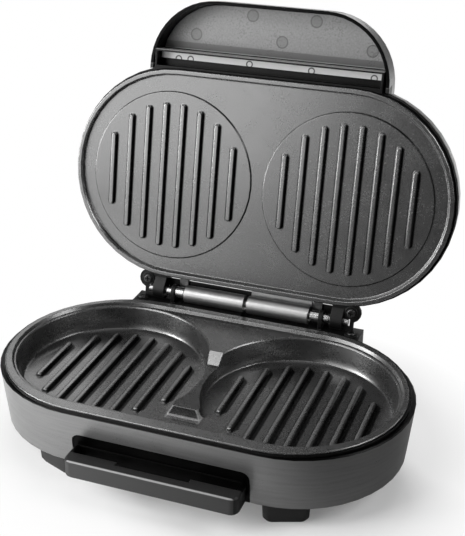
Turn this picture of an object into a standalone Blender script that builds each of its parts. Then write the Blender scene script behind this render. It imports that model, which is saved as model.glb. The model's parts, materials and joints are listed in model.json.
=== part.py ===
"""Two-patty hamburger grill: a base with two round pans and a hinged lid with a ribbed press plate.

The body is a racetrack in plan, long way along X, with the handles at the front (-Y)
and the hinge at the back (+Y). The lid is modelled closed and then turned open about
the hinge axle, which is how the grill stands at rest.
"""
import math

import bmesh
import bpy
from mathutils import Matrix, Vector

# Facets
ARC_STEPS = 22
PAN_STEPS = 42
ROUND_STEPS = 16
RIB_END_STEPS = 3
CORNER_STEPS = 4
VISOR_CORNER_STEPS = 12

# Clearances shared by every seat, and the overrun of every cut
SEAT_GAP = 0.0003
CUT_OVERRUN = 0.001

# Round pans, the size that the rest of the plan follows
PAN_TOP_RADIUS = 0.0598
PAN_PAIR_GAP = 0.0004
PAN_OUTSET = 0.0013

# Body
BASE_DRAFT_INSET = 0.0032
FLOOR_CLEARANCE = 0.0142
WALL_HEIGHT = 0.036
SHELL_WALL = 0.0016
SHELL_EDGE = 0.0008
TOP_FLANGE_WIDTH = 0.0047
BOTTOM_HEM_WIDTH = 0.004

# Bottom cover
COVER_FLOOR = 0.002
COVER_RIM_WIDTH = 0.003
COVER_RIM_RISE = 0.0035

# Feet
FOOT_TOP_WIDTH = 0.0275
FOOT_BOTTOM_WIDTH = 0.0235
FOOT_EDGE_WIDTH = 0.0265
FOOT_TOP_DEPTH = 0.012
FOOT_BOTTOM_DEPTH = 0.0085
FOOT_EDGE_DEPTH = 0.0105
FOOT_EDGE_HEIGHT = 0.0022
FOOT_SETBACK = 0.0055
FOOT_CORNER = 0.0035
FOOT_ANGLE = math.radians(13.2)
FOOT_TURN = math.radians(21.0)

# Lower plate
LIP_HEIGHT_OVER_SHELL = 0.0031
LIP_SETBACK = 0.0002
LIP_WIDTH = 0.0072
LIP_SLOPE_RUN = 0.0012
LIP_RISE = 0.002
LIP_THICKNESS = 0.0010
PLATE_FORWARD_SHIFT = 0.0010
PLATE_END_INSET = 0.0030
LIP_EDGE = 0.0004
DECK_THICKNESS = 0.003
DECK_MARGIN = 0.0007
PAN_WALL_RUN = 0.0027
PAN_DEPTH = 0.015
PAN_WALL = 0.0026
PAN_FLOOR_THICKNESS = 0.0028
PAN_FLOOR_FILLET = 0.0018
PAN_EDGE_ROUND = 0.0008
WEB_FRONT_REACH = 0.033
WEB_FRONT_SLOPE_RUN = 0.0025
WEB_FRONT_HALF_WIDTH = 0.0105
WEB_FRONT_TOP_HALF_WIDTH = 0.0076
WEB_SHOULDER_REACH = 0.0265
WEB_LEAST_HALF_WIDTH = 0.0005
VALLEY_HALF_WIDTH = 0.003
WEB_SADDLE_DROP_REAR = 0.0065
WEB_SADDLE_DROP_FRONT = 0.0095
WEB_RAMP_TOP = 0.0232
WEB_RAMP_FOOT = 0.0165
WEB_CUT_HALF_WIDTH = 0.016

# Grill ribs, both plates
RIB_COUNT = 8
RIB_SIDE_MARGIN = 0.00555
RIB_WIDTH = 0.0046
RIB_SHOULDER_WIDTH = 0.0038
RIB_CREST_WIDTH = 0.0022
RIB_HEIGHT = 0.0021
RIB_SHOULDER_HEIGHT = 0.0015
LOWER_RIB_END_MARGIN = 0.0092
UPPER_RIB_END_MARGIN = 0.0069

# Seat ring under the lower plate
RING_WALL = 0.0014
RING_FLANGE = 0.0015
RING_DROP = 0.006
RING_END_INSET = 0.0025

# Lower handle
HANDLE_SIDE_MARGIN = 0.0059
HANDLE_STANDOFF = 0.0146
HANDLE_BAR_DEPTH = 0.009
HANDLE_BAR_TOP = 0.0283
HANDLE_BAR_HEIGHT = 0.0114
HANDLE_END_WALL = 0.0031
HANDLE_CHAMFER = 0.0009
HANDLE_CORNER = 0.005
HANDLE_PLATE_THICKNESS = 0.0020
HANDLE_PLATE_RECESS = 0.0004
FINGER_NOTCH_HALF_WIDTH = 0.0225
FINGER_NOTCH_DEPTH = 0.003
POCKET_SIDE_MARGIN = 0.0016
POCKET_TOP = 0.0357
POCKET_CORNER = 0.005

# Hinge
HINGE_SETBACK = 0.0090
HINGE_RISE_OVER_LIP = 0.0035
OPEN_ANGLE = math.radians(100.9)
AXLE_RADIUS = 0.0025
AXLE_OVERHANG = 0.0035
BARREL_RADIUS = 0.0059
BARREL_MIDDLE_GAP = 0.0026
BARREL_SIDE_MARGIN = 0.0152
LEAF_THICKNESS = 0.0012
LEAF_LENGTH = 0.013
BUSH_RADIUS = 0.0040
BUSH_LENGTH = 0.0057
COLLAR_RADIUS = 0.0032
COLLAR_LENGTH = 0.0035
LUG_RADIUS = 0.0052
LUG_WIDTH = 0.0024
HINGE_STACK_GAP = 0.0004
EAR_SIDE_MARGIN = 0.0002
EAR_KNUCKLE_WIDTH = 0.0080
EAR_FLANGE_OVERHANG = 0.0193
EAR_FLANGE_THICKNESS = 0.0020
EAR_KNUCKLE_RADIUS = 0.0058
EAR_HEIGHT = 0.0100
EAR_HEEL_WIDTH = 0.0150
EAR_BOSS_RADIUS = 0.0043
EAR_BOSS_HEIGHT = 0.0008
EAR_BOSS_INSET = 0.0065
EAR_BOSS_BEHIND_EDGE = 0.0022
EAR_SCREW_RADIUS = 0.0029
EAR_SCREW_HEAD = 0.0010
EAR_WEB_GAP = 0.0004
EAR_WEB_THICKNESS = 0.0012
EAR_WEB_REACH = 0.0043
KNUCKLE_START_SHARE = 0.62
BRACKET_BARREL_GAP = 0.0015
BRACKET_OVERHANG = 0.0206
BRACKET_DEPTH = 0.0150
BRACKET_HEIGHT = 0.0200
BRACKET_TOP_DROP = 0.0005
BRACKET_DOME_RADIUS = 0.0042
BRACKET_DOME_RISE = 0.0016
BRACKET_DOME_BEHIND_EDGE = 0.0025
BRACKET_DOME_INSET = 0.0056
BRACKET_SCREW_RADIUS = 0.0027
BRACKET_SCREW_HEAD = 0.0009
SCREW_CROWN_SHARE = 0.8
SHELF_HEIGHT = 0.0045
SHELF_UNDER_BARREL = 0.0009

# Upper plate, closed position
PARTING_GAP = 0.0007
UPPER_LIP_WIDTH = 0.0025
UPPER_LIP_SLOPE_RUN = 0.0013
UPPER_FIELD_RISE = 0.0035
UPPER_PLATE_THICKNESS = 0.0024
UPPER_LIP_EDGE = 0.0004
ZONE_MARGIN = 0.0037
ZONE_STEP = 0.0008
ZONE_SETBACK = 0.0010

# Lid frame and its front block
FRAME_SETBACK = 0.0004
FRAME_WALL = 0.0011
FRAME_SIDE_HEIGHT = 0.0040
FRAME_SIDE_START = 0.0041
FRAME_FLANGE = 0.0013
FRAME_FLANGE_WIDTH = 0.0085
BLOCK_STANDOFF = 0.0103
BLOCK_WALL = 0.0014
BLOCK_RIM_OVER_LIP = 0.0015
BLOCK_HEIGHT = 0.0125
BLOCK_LEDGE_HEIGHT = 0.0060
BLOCK_TROUGH_HEIGHT = 0.0095
BLOCK_LEDGE_DEPTH = 0.0044

# Lid shell
LID_OVERHANG = 0.0001
LID_DRAFT_INSET = 0.0012
LID_SHELL_START = 0.0068
LID_TOP_HEIGHT = 0.0300
LID_TOP_ROUND = 0.0070
TOP_ROUND_SHARE = 0.13
HOLLOW_ROUND_SHARE = 0.2
LID_TOP_CROWN = 0.0010
LID_TOP_CROWN_INSET = 0.0220
LID_WALL = 0.0022
VISOR_SIDE_MARGIN = 0.0227
VISOR_RADIUS = 0.0435
VISOR_CENTRE_SETBACK = 0.0003
VISOR_TOP_HEIGHT = 0.0205
VISOR_RIM_HEIGHT = 0.0030
VISOR_FRONT_DROP = 0.0010
VISOR_WALL = 0.0021
VISOR_ROOF = 0.0020
LINER_GAP = 0.0005
LINER_THICKNESS = 0.0014
LINER_DEPTH_UNDER_RIM = 0.0120
LINER_STEP = 0.0014
LINER_BAND = 0.0055

# Heating
HEATER_RADIUS = 0.0033
HEATER_MARGIN = 0.0211
HEATER_TAIL_HALF_GAP = 0.010
HEATER_TAIL_LENGTH = 0.012
HEATER_BEND_RADIUS = 0.007
HEATER_SIDES = 6
HEATER_ARC_STEPS = 10
HEATER_BEND_STEPS = 3
REFLECTOR_MARGIN = 0.0121
REFLECTOR_SHEET = 0.0008
REFLECTOR_RIM = 0.003
REFLECTOR_POST_RADIUS = 0.003
REFLECTOR_POST_INSET = 0.009
LOWER_REFLECTOR_DROP = 0.003
UPPER_REFLECTOR_RISE = 0.0042
THERMOSTAT_RADIUS = 0.008
THERMOSTAT_HEIGHT = 0.006
FUSE_RADIUS = 0.0024
FUSE_LENGTH = 0.022
FUSE_PLACE_X = 0.030
TERMINAL_BLOCK_SIZE = (0.034, 0.010, 0.007)
TERMINAL_BLOCK_PLACE_X = 0.030
TERMINAL_BLOCK_REAR_MARGIN = 0.004
GLAND_RADIUS = 0.0058
GLAND_FLANGE_RADIUS = 0.0078
GLAND_FLANGE = 0.002
GLAND_NECK_LENGTH = 0.006
GLAND_BORE_RADIUS = 0.0034
GLAND_HEIGHT = 0.012
LENS_RADIUS = 0.003
LENS_RISE = 0.0008
LENS_CROWN_SHARE = 0.7
LENS_LENGTH = 0.006
LENS_SPACING = 0.016
LENS_FRONT_MARGIN = 0.0213

# Plan worked out from the pans outwards
PAN_FLOOR_RADIUS = PAN_TOP_RADIUS - PAN_WALL_RUN
PAN_SPACING = 2 * PAN_TOP_RADIUS + PAN_PAIR_GAP
BODY_STRAIGHT = PAN_SPACING - 2 * PAN_OUTSET
BODY_HALF = BODY_STRAIGHT / 2
LIP_FOOT_INNER_RADIUS = PAN_TOP_RADIUS + PAN_EDGE_ROUND + DECK_MARGIN + PAN_OUTSET
LIP_TOP_INNER_RADIUS = LIP_FOOT_INNER_RADIUS + LIP_SLOPE_RUN
LIP_OUTER_RADIUS = LIP_TOP_INNER_RADIUS + LIP_WIDTH
BASE_TOP_RADIUS = LIP_OUTER_RADIUS + LIP_SETBACK
PLATE_STRAIGHT = BODY_STRAIGHT - 2 * PLATE_END_INSET
RING_STRAIGHT = BODY_STRAIGHT - 2 * RING_END_INSET
BASE_BOTTOM_RADIUS = BASE_TOP_RADIUS - BASE_DRAFT_INSET
LID_RADIUS = BASE_TOP_RADIUS + LID_OVERHANG
FRAME_RADIUS = LID_RADIUS - FRAME_SETBACK
UPPER_LIP_OUTER_RADIUS = FRAME_RADIUS - FRAME_WALL - SEAT_GAP
UPPER_LIP_INNER_RADIUS = UPPER_LIP_OUTER_RADIUS - UPPER_LIP_WIDTH
UPPER_FIELD_RADIUS = UPPER_LIP_INNER_RADIUS - UPPER_LIP_SLOPE_RUN
ZONE_RADIUS = PAN_TOP_RADIUS - ZONE_MARGIN
LOWER_RIB_CIRCLE = PAN_FLOOR_RADIUS - LOWER_RIB_END_MARGIN
UPPER_RIB_CIRCLE = ZONE_RADIUS - UPPER_RIB_END_MARGIN
RIB_PITCH = 2 * (LOWER_RIB_CIRCLE - RIB_SIDE_MARGIN) / (RIB_COUNT - 1)
HEATER_LOOP_RADIUS = PAN_FLOOR_RADIUS - HEATER_MARGIN
REFLECTOR_RADIUS = PAN_FLOOR_RADIUS - REFLECTOR_MARGIN
FOOT_OUTER_RADIUS = BASE_BOTTOM_RADIUS - FOOT_SETBACK
HANDLE_HALF_WIDTH = BODY_HALF - HANDLE_SIDE_MARGIN
HANDLE_FRONT_REACH = BASE_TOP_RADIUS + HANDLE_STANDOFF
POCKET_HALF_WIDTH = HANDLE_HALF_WIDTH + POCKET_SIDE_MARGIN
BARREL_OUTER_END = BODY_HALF - BARREL_SIDE_MARGIN
BRACKET_INNER_END = BARREL_OUTER_END + BRACKET_BARREL_GAP
BRACKET_OUTER_END = BODY_HALF + BRACKET_OVERHANG
EAR_INNER_END = BODY_HALF - EAR_SIDE_MARGIN
EAR_FLANGE_OUTER = BODY_HALF + EAR_FLANGE_OVERHANG
EAR_BOSS_PLACE_X = EAR_FLANGE_OUTER - EAR_BOSS_INSET
AXLE_HALF_LENGTH = EAR_INNER_END + EAR_KNUCKLE_WIDTH + AXLE_OVERHANG
VISOR_STRAIGHT = BODY_STRAIGHT - 2 * VISOR_SIDE_MARGIN
VISOR_CENTRE_REACH = LID_RADIUS - VISOR_CENTRE_SETBACK
BLOCK_FRONT_REACH = LID_RADIUS + BLOCK_STANDOFF
BLOCK_SIDE_REACH = math.sqrt((VISOR_RADIUS - VISOR_WALL) ** 2 - (BLOCK_FRONT_REACH - VISOR_CENTRE_REACH) ** 2)
BLOCK_HALF_WIDTH = VISOR_STRAIGHT / 2 + BLOCK_SIDE_REACH - SEAT_GAP
FRAME_FLANGE_INNER_RADIUS = UPPER_LIP_OUTER_RADIUS - FRAME_FLANGE_WIDTH + FRAME_WALL
LENS_FRONT_PLACE = LID_RADIUS - LENS_FRONT_MARGIN

# Levels worked out from the sizes above
SHELL_TOP = FLOOR_CLEARANCE + WALL_HEIGHT
LIP_TOP = SHELL_TOP + LIP_HEIGHT_OVER_SHELL
DECK = LIP_TOP - LIP_RISE
PAN_FLOOR = DECK - PAN_DEPTH
PAN_UNDERSIDE = PAN_FLOOR - PAN_FLOOR_THICKNESS
HINGE_Y = BASE_TOP_RADIUS + HINGE_SETBACK
HINGE_Z = LIP_TOP + HINGE_RISE_OVER_LIP
UPPER_LIP = LIP_TOP + PARTING_GAP
FIELD = UPPER_LIP + UPPER_FIELD_RISE
UPPER_BACK = FIELD + UPPER_PLATE_THICKNESS
LID_SHELL_BOTTOM = UPPER_LIP + LID_SHELL_START
LID_TOP = UPPER_LIP + LID_TOP_HEIGHT

# Colours as linear red, green, blue, then roughness and metallic
GUNMETAL = ((0.16, 0.16, 0.165), 0.35, 0.9)
NON_STICK = ((0.045, 0.045, 0.047), 0.55, 0.2)
BLACK_PLASTIC = ((0.012, 0.012, 0.013), 0.4, 0.0)
GLOSS_PLASTIC = ((0.03, 0.03, 0.032), 0.25, 0.0)
BRIGHT_STEEL = ((0.62, 0.62, 0.63), 0.22, 1.0)
SHEET_STEEL = ((0.45, 0.45, 0.46), 0.35, 1.0)
RUBBER = ((0.01, 0.01, 0.01), 0.8, 0.0)
CERAMIC = ((0.6, 0.58, 0.54), 0.6, 0.0)
RED_LENS = ((0.35, 0.01, 0.01), 0.15, 0.0)
GREEN_LENS = ((0.01, 0.25, 0.03), 0.15, 0.0)


def clear_scene():
    """Start from an empty scene."""
    for item in list(bpy.data.objects):
        bpy.data.objects.remove(item, do_unlink=True)


def make_object(name, mesh_data):
    """Close a bmesh into a named object with outward faces."""
    bmesh.ops.recalc_face_normals(mesh_data, faces=mesh_data.faces)
    mesh = bpy.data.meshes.new(name)
    mesh_data.to_mesh(mesh)
    mesh_data.free()
    item = bpy.data.objects.new(name, mesh)
    bpy.context.collection.objects.link(item)
    return item


def bridge(mesh_data, first, second):
    """Join two loops of vertices with quads."""
    count = len(first)
    for index in range(count):
        after = (index + 1) % count
        mesh_data.faces.new((first[index], first[after], second[after], second[index]))


def loft_solid(name, loops):
    """A capped solid through loops of points that have the same count."""
    mesh_data = bmesh.new()
    rows = [[mesh_data.verts.new(point) for point in loop] for loop in loops]
    for first, second in zip(rows, rows[1:]):
        bridge(mesh_data, first, second)
    mesh_data.faces.new(rows[0])
    mesh_data.faces.new(rows[-1])
    return make_object(name, mesh_data)


def loft_ring(name, loops):
    """An endless band through loops of points: the last loop joins the first."""
    mesh_data = bmesh.new()
    rows = [[mesh_data.verts.new(point) for point in loop] for loop in loops]
    for first, second in zip(rows, rows[1:] + rows[:1]):
        bridge(mesh_data, first, second)
    return make_object(name, mesh_data)


def track_loop(radius, height, straight=BODY_STRAIGHT):
    """A racetrack outline: two half circles joined by straight runs."""
    loop = []
    for side, start in ((1, -math.pi / 2), (-1, math.pi / 2)):
        for step in range(ARC_STEPS + 1):
            angle = start + math.pi * step / ARC_STEPS
            across = side * straight / 2 + radius * math.cos(angle)
            loop.append(Vector((across, radius * math.sin(angle), height)))
    return loop


def track_solid(name, profile, straight=BODY_STRAIGHT):
    """A racetrack solid from a list of (radius, height) pairs."""
    return loft_solid(name, [track_loop(radius, height, straight) for radius, height in profile])


def track_ring(name, profile, straight=BODY_STRAIGHT):
    """A racetrack ring whose section is the closed (radius, height) profile."""
    return loft_ring(name, [track_loop(radius, height, straight) for radius, height in profile])


def circle_loop(radius, height, centre_x=0.0, centre_y=0.0, steps=PAN_STEPS):
    """A level circle of points."""
    loop = []
    for step in range(steps):
        angle = 2 * math.pi * step / steps
        loop.append(Vector((centre_x + radius * math.cos(angle), centre_y + radius * math.sin(angle), height)))
    return loop


def turned_solid(name, profile, centre_x=0.0, centre_y=0.0, steps=ROUND_STEPS):
    """A turned solid about an upright axis from (radius, height) pairs."""
    return loft_solid(name, [circle_loop(radius, height, centre_x, centre_y, steps) for radius, height in profile])


def rod_along_x(name, radius, start, end, centre_y, centre_z, steps=ROUND_STEPS):
    """A round rod along X."""
    loops = []
    for place in (start, end):
        loop = []
        for step in range(steps):
            angle = 2 * math.pi * (step + 0.5) / steps
            loop.append(Vector((place, centre_y + radius * math.cos(angle), centre_z + radius * math.sin(angle))))
        loops.append(loop)
    return loft_solid(name, loops)


def prism_along_x(name, outline, start, end):
    """A prism along X from an outline of (y, z) pairs."""
    return loft_solid(name, [[Vector((place, y, z)) for y, z in outline] for place in (start, end)])


def prism_upright(name, outline, bottom, top):
    """A prism along Z from an outline of (x, y) pairs."""
    return loft_solid(name, [[Vector((x, y, place)) for x, y in outline] for place in (bottom, top)])


def box(name, low, high):
    """A plain block between two corners."""
    outline = [(low[0], low[1]), (high[0], low[1]), (high[0], high[1]), (low[0], high[1])]
    return prism_upright(name, outline, low[2], high[2])


def rounded_outline(half_width, half_depth, corner, steps=CORNER_STEPS):
    """A rectangle with round corners, centred on the origin."""
    outline = []
    for side_x, side_y, start in ((1, -1, -90), (1, 1, 0), (-1, 1, 90), (-1, -1, 180)):
        for step in range(steps + 1):
            angle = math.radians(start + 90 * step / steps)
            x = side_x * (half_width - corner) + corner * math.cos(angle)
            y = side_y * (half_depth - corner) + corner * math.sin(angle)
            outline.append((x, y))
    return outline


def combine(target, tool, operation):
    """Apply one exact Boolean and delete the tool."""
    modifier = target.modifiers.new("cut", "BOOLEAN")
    modifier.operation = operation
    modifier.solver = "EXACT"
    modifier.object = tool
    bpy.context.view_layer.update()
    evaluated = target.evaluated_get(bpy.context.evaluated_depsgraph_get())
    mesh = bpy.data.meshes.new_from_object(evaluated)
    target.modifiers.clear()
    old_mesh = target.data
    target.data = mesh
    bpy.data.meshes.remove(old_mesh)
    bpy.data.objects.remove(tool, do_unlink=True)


def cut(target, tool):
    """Take the tool away from the target."""
    combine(target, tool, "DIFFERENCE")


def join(target, tool):
    """Grow the target by the tool."""
    combine(target, tool, "UNION")


def dress(item, finish, smooth_angle=math.radians(35)):
    """Give a piece its own material and smooth its round faces."""
    colour, roughness, metallic = finish
    material = bpy.data.materials.new(item.name + "_finish")
    material.use_nodes = True
    shader = material.node_tree.nodes["Principled BSDF"]
    shader.inputs["Base Color"].default_value = (*colour, 1)
    shader.inputs["Roughness"].default_value = roughness
    shader.inputs["Metallic"].default_value = metallic
    item.data.name = item.name
    item.data.materials.clear()
    item.data.materials.append(material)
    item.data.shade_smooth()
    item.data.set_sharp_from_angle(angle=smooth_angle)
    return item


def wall_radius(height):
    """Outer radius of the drafted base wall at a height."""
    return BASE_BOTTOM_RADIUS + BASE_DRAFT_INSET * (height - FLOOR_CLEARANCE) / WALL_HEIGHT


def pocket_outline():
    """Front view (x, z) of the opening for the lower handle, open at the bottom."""
    bottom = FLOOR_CLEARANCE - CUT_OVERRUN
    outline = [(-POCKET_HALF_WIDTH, bottom), (POCKET_HALF_WIDTH, bottom)]
    for side, start in ((1, 0), (-1, 90)):
        for step in range(CORNER_STEPS + 1):
            angle = math.radians(start + 90 * step / CORNER_STEPS)
            x = side * (POCKET_HALF_WIDTH - POCKET_CORNER) + POCKET_CORNER * math.cos(angle)
            outline.append((x, POCKET_TOP - POCKET_CORNER + POCKET_CORNER * math.sin(angle)))
    return outline


def make_base_shell():
    """The drafted side wall with an inward flange on top and a hem below."""
    top = SHELL_TOP
    bottom = FLOOR_CLEARANCE
    inner_top = BASE_TOP_RADIUS - SHELL_WALL
    inner_bottom = BASE_BOTTOM_RADIUS - SHELL_WALL
    profile = [
        (BASE_BOTTOM_RADIUS - SHELL_EDGE, bottom),
        (BASE_BOTTOM_RADIUS, bottom + SHELL_EDGE),
        (BASE_TOP_RADIUS, top - SHELL_EDGE),
        (BASE_TOP_RADIUS - SHELL_EDGE, top),
        (BASE_TOP_RADIUS - TOP_FLANGE_WIDTH, top),
        (BASE_TOP_RADIUS - TOP_FLANGE_WIDTH, top - SHELL_WALL),
        (inner_top, top - SHELL_WALL),
        (inner_bottom, bottom + SHELL_WALL),
        (BASE_BOTTOM_RADIUS - BOTTOM_HEM_WIDTH, bottom + SHELL_WALL),
        (BASE_BOTTOM_RADIUS - BOTTOM_HEM_WIDTH, bottom),
    ]
    shell = track_ring("base_shell", profile)
    front = BASE_TOP_RADIUS + CUT_OVERRUN
    back = BASE_BOTTOM_RADIUS - BOTTOM_HEM_WIDTH - CUT_OVERRUN
    loops = [[Vector((x, -place, z)) for x, z in pocket_outline()] for place in (front, back)]
    cut(shell, loft_solid("pocket_tool", loops))
    gland_hole = gland_rod("gland_tool", GLAND_RADIUS + SEAT_GAP, -BOTTOM_HEM_WIDTH, BOTTOM_HEM_WIDTH)
    cut(shell, gland_hole)
    return dress(shell, GUNMETAL)


def gland_rod(name, radius, start, end, steps=ROUND_STEPS):
    """A rod along Y at the cord inlet, measured from the back wall's face."""
    height = FLOOR_CLEARANCE + GLAND_HEIGHT
    face = wall_radius(height)
    loops = []
    for place in (face + start, face + end):
        loop = []
        for step in range(steps):
            angle = 2 * math.pi * (step + 0.5) / steps
            loop.append(Vector((radius * math.cos(angle), place, height + radius * math.sin(angle))))
        loops.append(loop)
    return loft_solid(name, loops)


def make_cord_gland():
    """The bush in the back wall that the supply cord would pass through."""
    seat = SEAT_GAP + GLAND_FLANGE_RADIUS * BASE_DRAFT_INSET / WALL_HEIGHT
    gland = gland_rod("cord_gland", GLAND_RADIUS, -GLAND_NECK_LENGTH, seat + GLAND_FLANGE / 2)
    join(gland, gland_rod("flange_tool", GLAND_FLANGE_RADIUS, seat, seat + GLAND_FLANGE))
    long = GLAND_NECK_LENGTH + GLAND_FLANGE + CUT_OVERRUN
    cut(gland, gland_rod("bore_tool", GLAND_BORE_RADIUS, -long, long))
    return dress(gland, BLACK_PLASTIC)


def make_bottom_cover():
    """The pan that closes the base from below, resting on the hem."""
    hem_opening = BASE_BOTTOM_RADIUS - BOTTOM_HEM_WIDTH - SEAT_GAP
    hem_top = FLOOR_CLEARANCE + SHELL_WALL + SEAT_GAP
    outer = BASE_BOTTOM_RADIUS - HANDLE_PLATE_RECESS - HANDLE_PLATE_THICKNESS - SEAT_GAP
    floor_top = FLOOR_CLEARANCE + COVER_FLOOR
    profile = [
        (hem_opening, FLOOR_CLEARANCE),
        (hem_opening, hem_top),
        (outer, hem_top),
        (outer, hem_top + COVER_RIM_RISE),
        (outer - COVER_RIM_WIDTH, hem_top + COVER_RIM_RISE),
        (outer - COVER_RIM_WIDTH, floor_top),
    ]
    cover = track_solid("bottom_cover", profile)
    post_top = lower_reflector_level() - SEAT_GAP
    for x, y in reflector_post_places():
        post = [(REFLECTOR_POST_RADIUS, floor_top - COVER_FLOOR / 2), (REFLECTOR_POST_RADIUS, post_top)]
        join(cover, turned_solid("post_tool", post, x, y))
    return dress(cover, BLACK_PLASTIC)


def reflector_post_places():
    """Four supports under the reflector, well inside its rim."""
    reach = REFLECTOR_RADIUS - REFLECTOR_POST_INSET
    return [(side_x * BODY_HALF, side_y * reach) for side_x in (-1, 1) for side_y in (-1, 1)]


def lower_reflector_level():
    """Underside of the lower reflector."""
    heater_bottom = PAN_UNDERSIDE - SEAT_GAP - 2 * HEATER_RADIUS
    return heater_bottom - LOWER_REFLECTOR_DROP - REFLECTOR_SHEET


def upper_heater_level():
    """Middle of the upper heating element, in the closed position."""
    return UPPER_BACK + SEAT_GAP + HEATER_RADIUS


def upper_reflector_level():
    """Upper face of the upper reflector, in the closed position."""
    return upper_heater_level() + HEATER_RADIUS + UPPER_REFLECTOR_RISE


def make_reflector(name, bottom, rim_up):
    """A pressed sheet tray that throws the heat back at the plate."""
    rim = REFLECTOR_RIM if rim_up else -REFLECTOR_RIM
    sheet = REFLECTOR_SHEET if rim_up else -REFLECTOR_SHEET
    profile = [
        (REFLECTOR_RADIUS, bottom),
        (REFLECTOR_RADIUS + REFLECTOR_RIM, bottom + rim),
        (REFLECTOR_RADIUS + REFLECTOR_RIM - REFLECTOR_SHEET, bottom + rim + sheet / 2),
        (REFLECTOR_RADIUS - REFLECTOR_SHEET, bottom + sheet),
    ]
    return dress(track_solid(name, profile), SHEET_STEEL)


def make_foot(name, side_x, side_y):
    """A tapered rubber foot set along the end arc of the body."""
    top = FLOOR_CLEARANCE - SEAT_GAP
    sizes = [
        (FOOT_BOTTOM_WIDTH, FOOT_BOTTOM_DEPTH, 0.0),
        (FOOT_EDGE_WIDTH, FOOT_EDGE_DEPTH, FOOT_EDGE_HEIGHT),
        (FOOT_TOP_WIDTH, FOOT_TOP_DEPTH, top),
    ]
    turn = Matrix.Rotation(FOOT_TURN * side_x * -side_y, 4, "Z")
    radius = FOOT_OUTER_RADIUS - FOOT_TOP_DEPTH / 2
    centre = Vector((side_x * (BODY_HALF + radius * math.sin(FOOT_ANGLE)),
                     side_y * radius * math.cos(FOOT_ANGLE), 0))
    loops = []
    for width, depth, height in sizes:
        outline = rounded_outline(width / 2, depth / 2, FOOT_CORNER)
        loops.append([centre + turn @ Vector((x, y, height)) for x, y in outline])
    return dress(loft_solid(name, loops), RUBBER)


def make_seat_ring():
    """The heat-proof ring between the shell's flange and the lower plate."""
    bottom = SHELL_TOP + SEAT_GAP
    top = bottom + RING_FLANGE
    wall_outer = BASE_TOP_RADIUS - TOP_FLANGE_WIDTH - SEAT_GAP
    wall_inner = wall_outer - RING_WALL
    loops = [
        track_loop(wall_inner, SHELL_TOP - RING_DROP),
        track_loop(wall_outer, SHELL_TOP - RING_DROP),
        track_loop(wall_outer, bottom),
        track_loop(LIP_OUTER_RADIUS, bottom, RING_STRAIGHT),
        track_loop(LIP_OUTER_RADIUS, top, RING_STRAIGHT),
        track_loop(wall_inner, top),
    ]
    return dress(loft_ring("plate_seat_ring", loops), BLACK_PLASTIC)


def plate_edge_loop(inset, height):
    """Outline of the lower plate's rim, which is shorter than the shell and set a little forward."""
    loop = track_loop(LIP_OUTER_RADIUS - PLATE_FORWARD_SHIFT - inset, height, PLATE_STRAIGHT)
    return [point - Vector((0, PLATE_FORWARD_SHIFT, 0)) for point in loop]


def deck_slab():
    """Lip and deck of the lower plate before the pans are sunk."""
    seat_inner = BASE_TOP_RADIUS - TOP_FLANGE_WIDTH - SEAT_GAP - RING_WALL - SEAT_GAP
    lip_bottom = LIP_TOP - LIP_THICKNESS
    bottom = DECK - DECK_THICKNESS
    loops = [
        track_loop(seat_inner, bottom),
        track_loop(seat_inner, lip_bottom),
        plate_edge_loop(0, lip_bottom),
        plate_edge_loop(0, LIP_TOP - LIP_EDGE),
        plate_edge_loop(LIP_EDGE, LIP_TOP),
        track_loop(LIP_TOP_INNER_RADIUS, LIP_TOP),
        track_loop(LIP_FOOT_INNER_RADIUS, DECK),
    ]
    return loft_solid("lower_plate", loops)


def pan_pair_loop(radius, height, end_angle, web_corner=None):
    """Plan of both pans and the trough in front of the web: arcs from the front round to the web."""
    half = PAN_SPACING / 2
    right = []
    for step in range(PAN_STEPS + 1):
        angle = -math.pi / 2 + (end_angle + math.pi / 2) * step / PAN_STEPS
        right.append((max(half + radius * math.cos(angle), WEB_LEAST_HALF_WIDTH), radius * math.sin(angle)))
    if web_corner is not None:
        right.append(web_corner)
    left = [(-x, y) for x, y in reversed(right)]
    return [Vector((x, y, height)) for x, y in right + left]


def pans_outside():
    """Cast outside of the pans, closed behind the web where they come near each other."""
    loops = []
    for radius, height in (
        (PAN_FLOOR_RADIUS + PAN_WALL - PAN_FLOOR_FILLET, PAN_UNDERSIDE),
        (PAN_FLOOR_RADIUS + PAN_WALL, PAN_UNDERSIDE + PAN_FLOOR_FILLET),
        (PAN_TOP_RADIUS + PAN_WALL, DECK - DECK_THICKNESS / 2),
    ):
        end_angle = math.acos((VALLEY_HALF_WIDTH - PAN_SPACING / 2) / radius)
        loops.append(pan_pair_loop(radius, height, end_angle))
    return loft_solid("pans_tool", loops)


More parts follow.
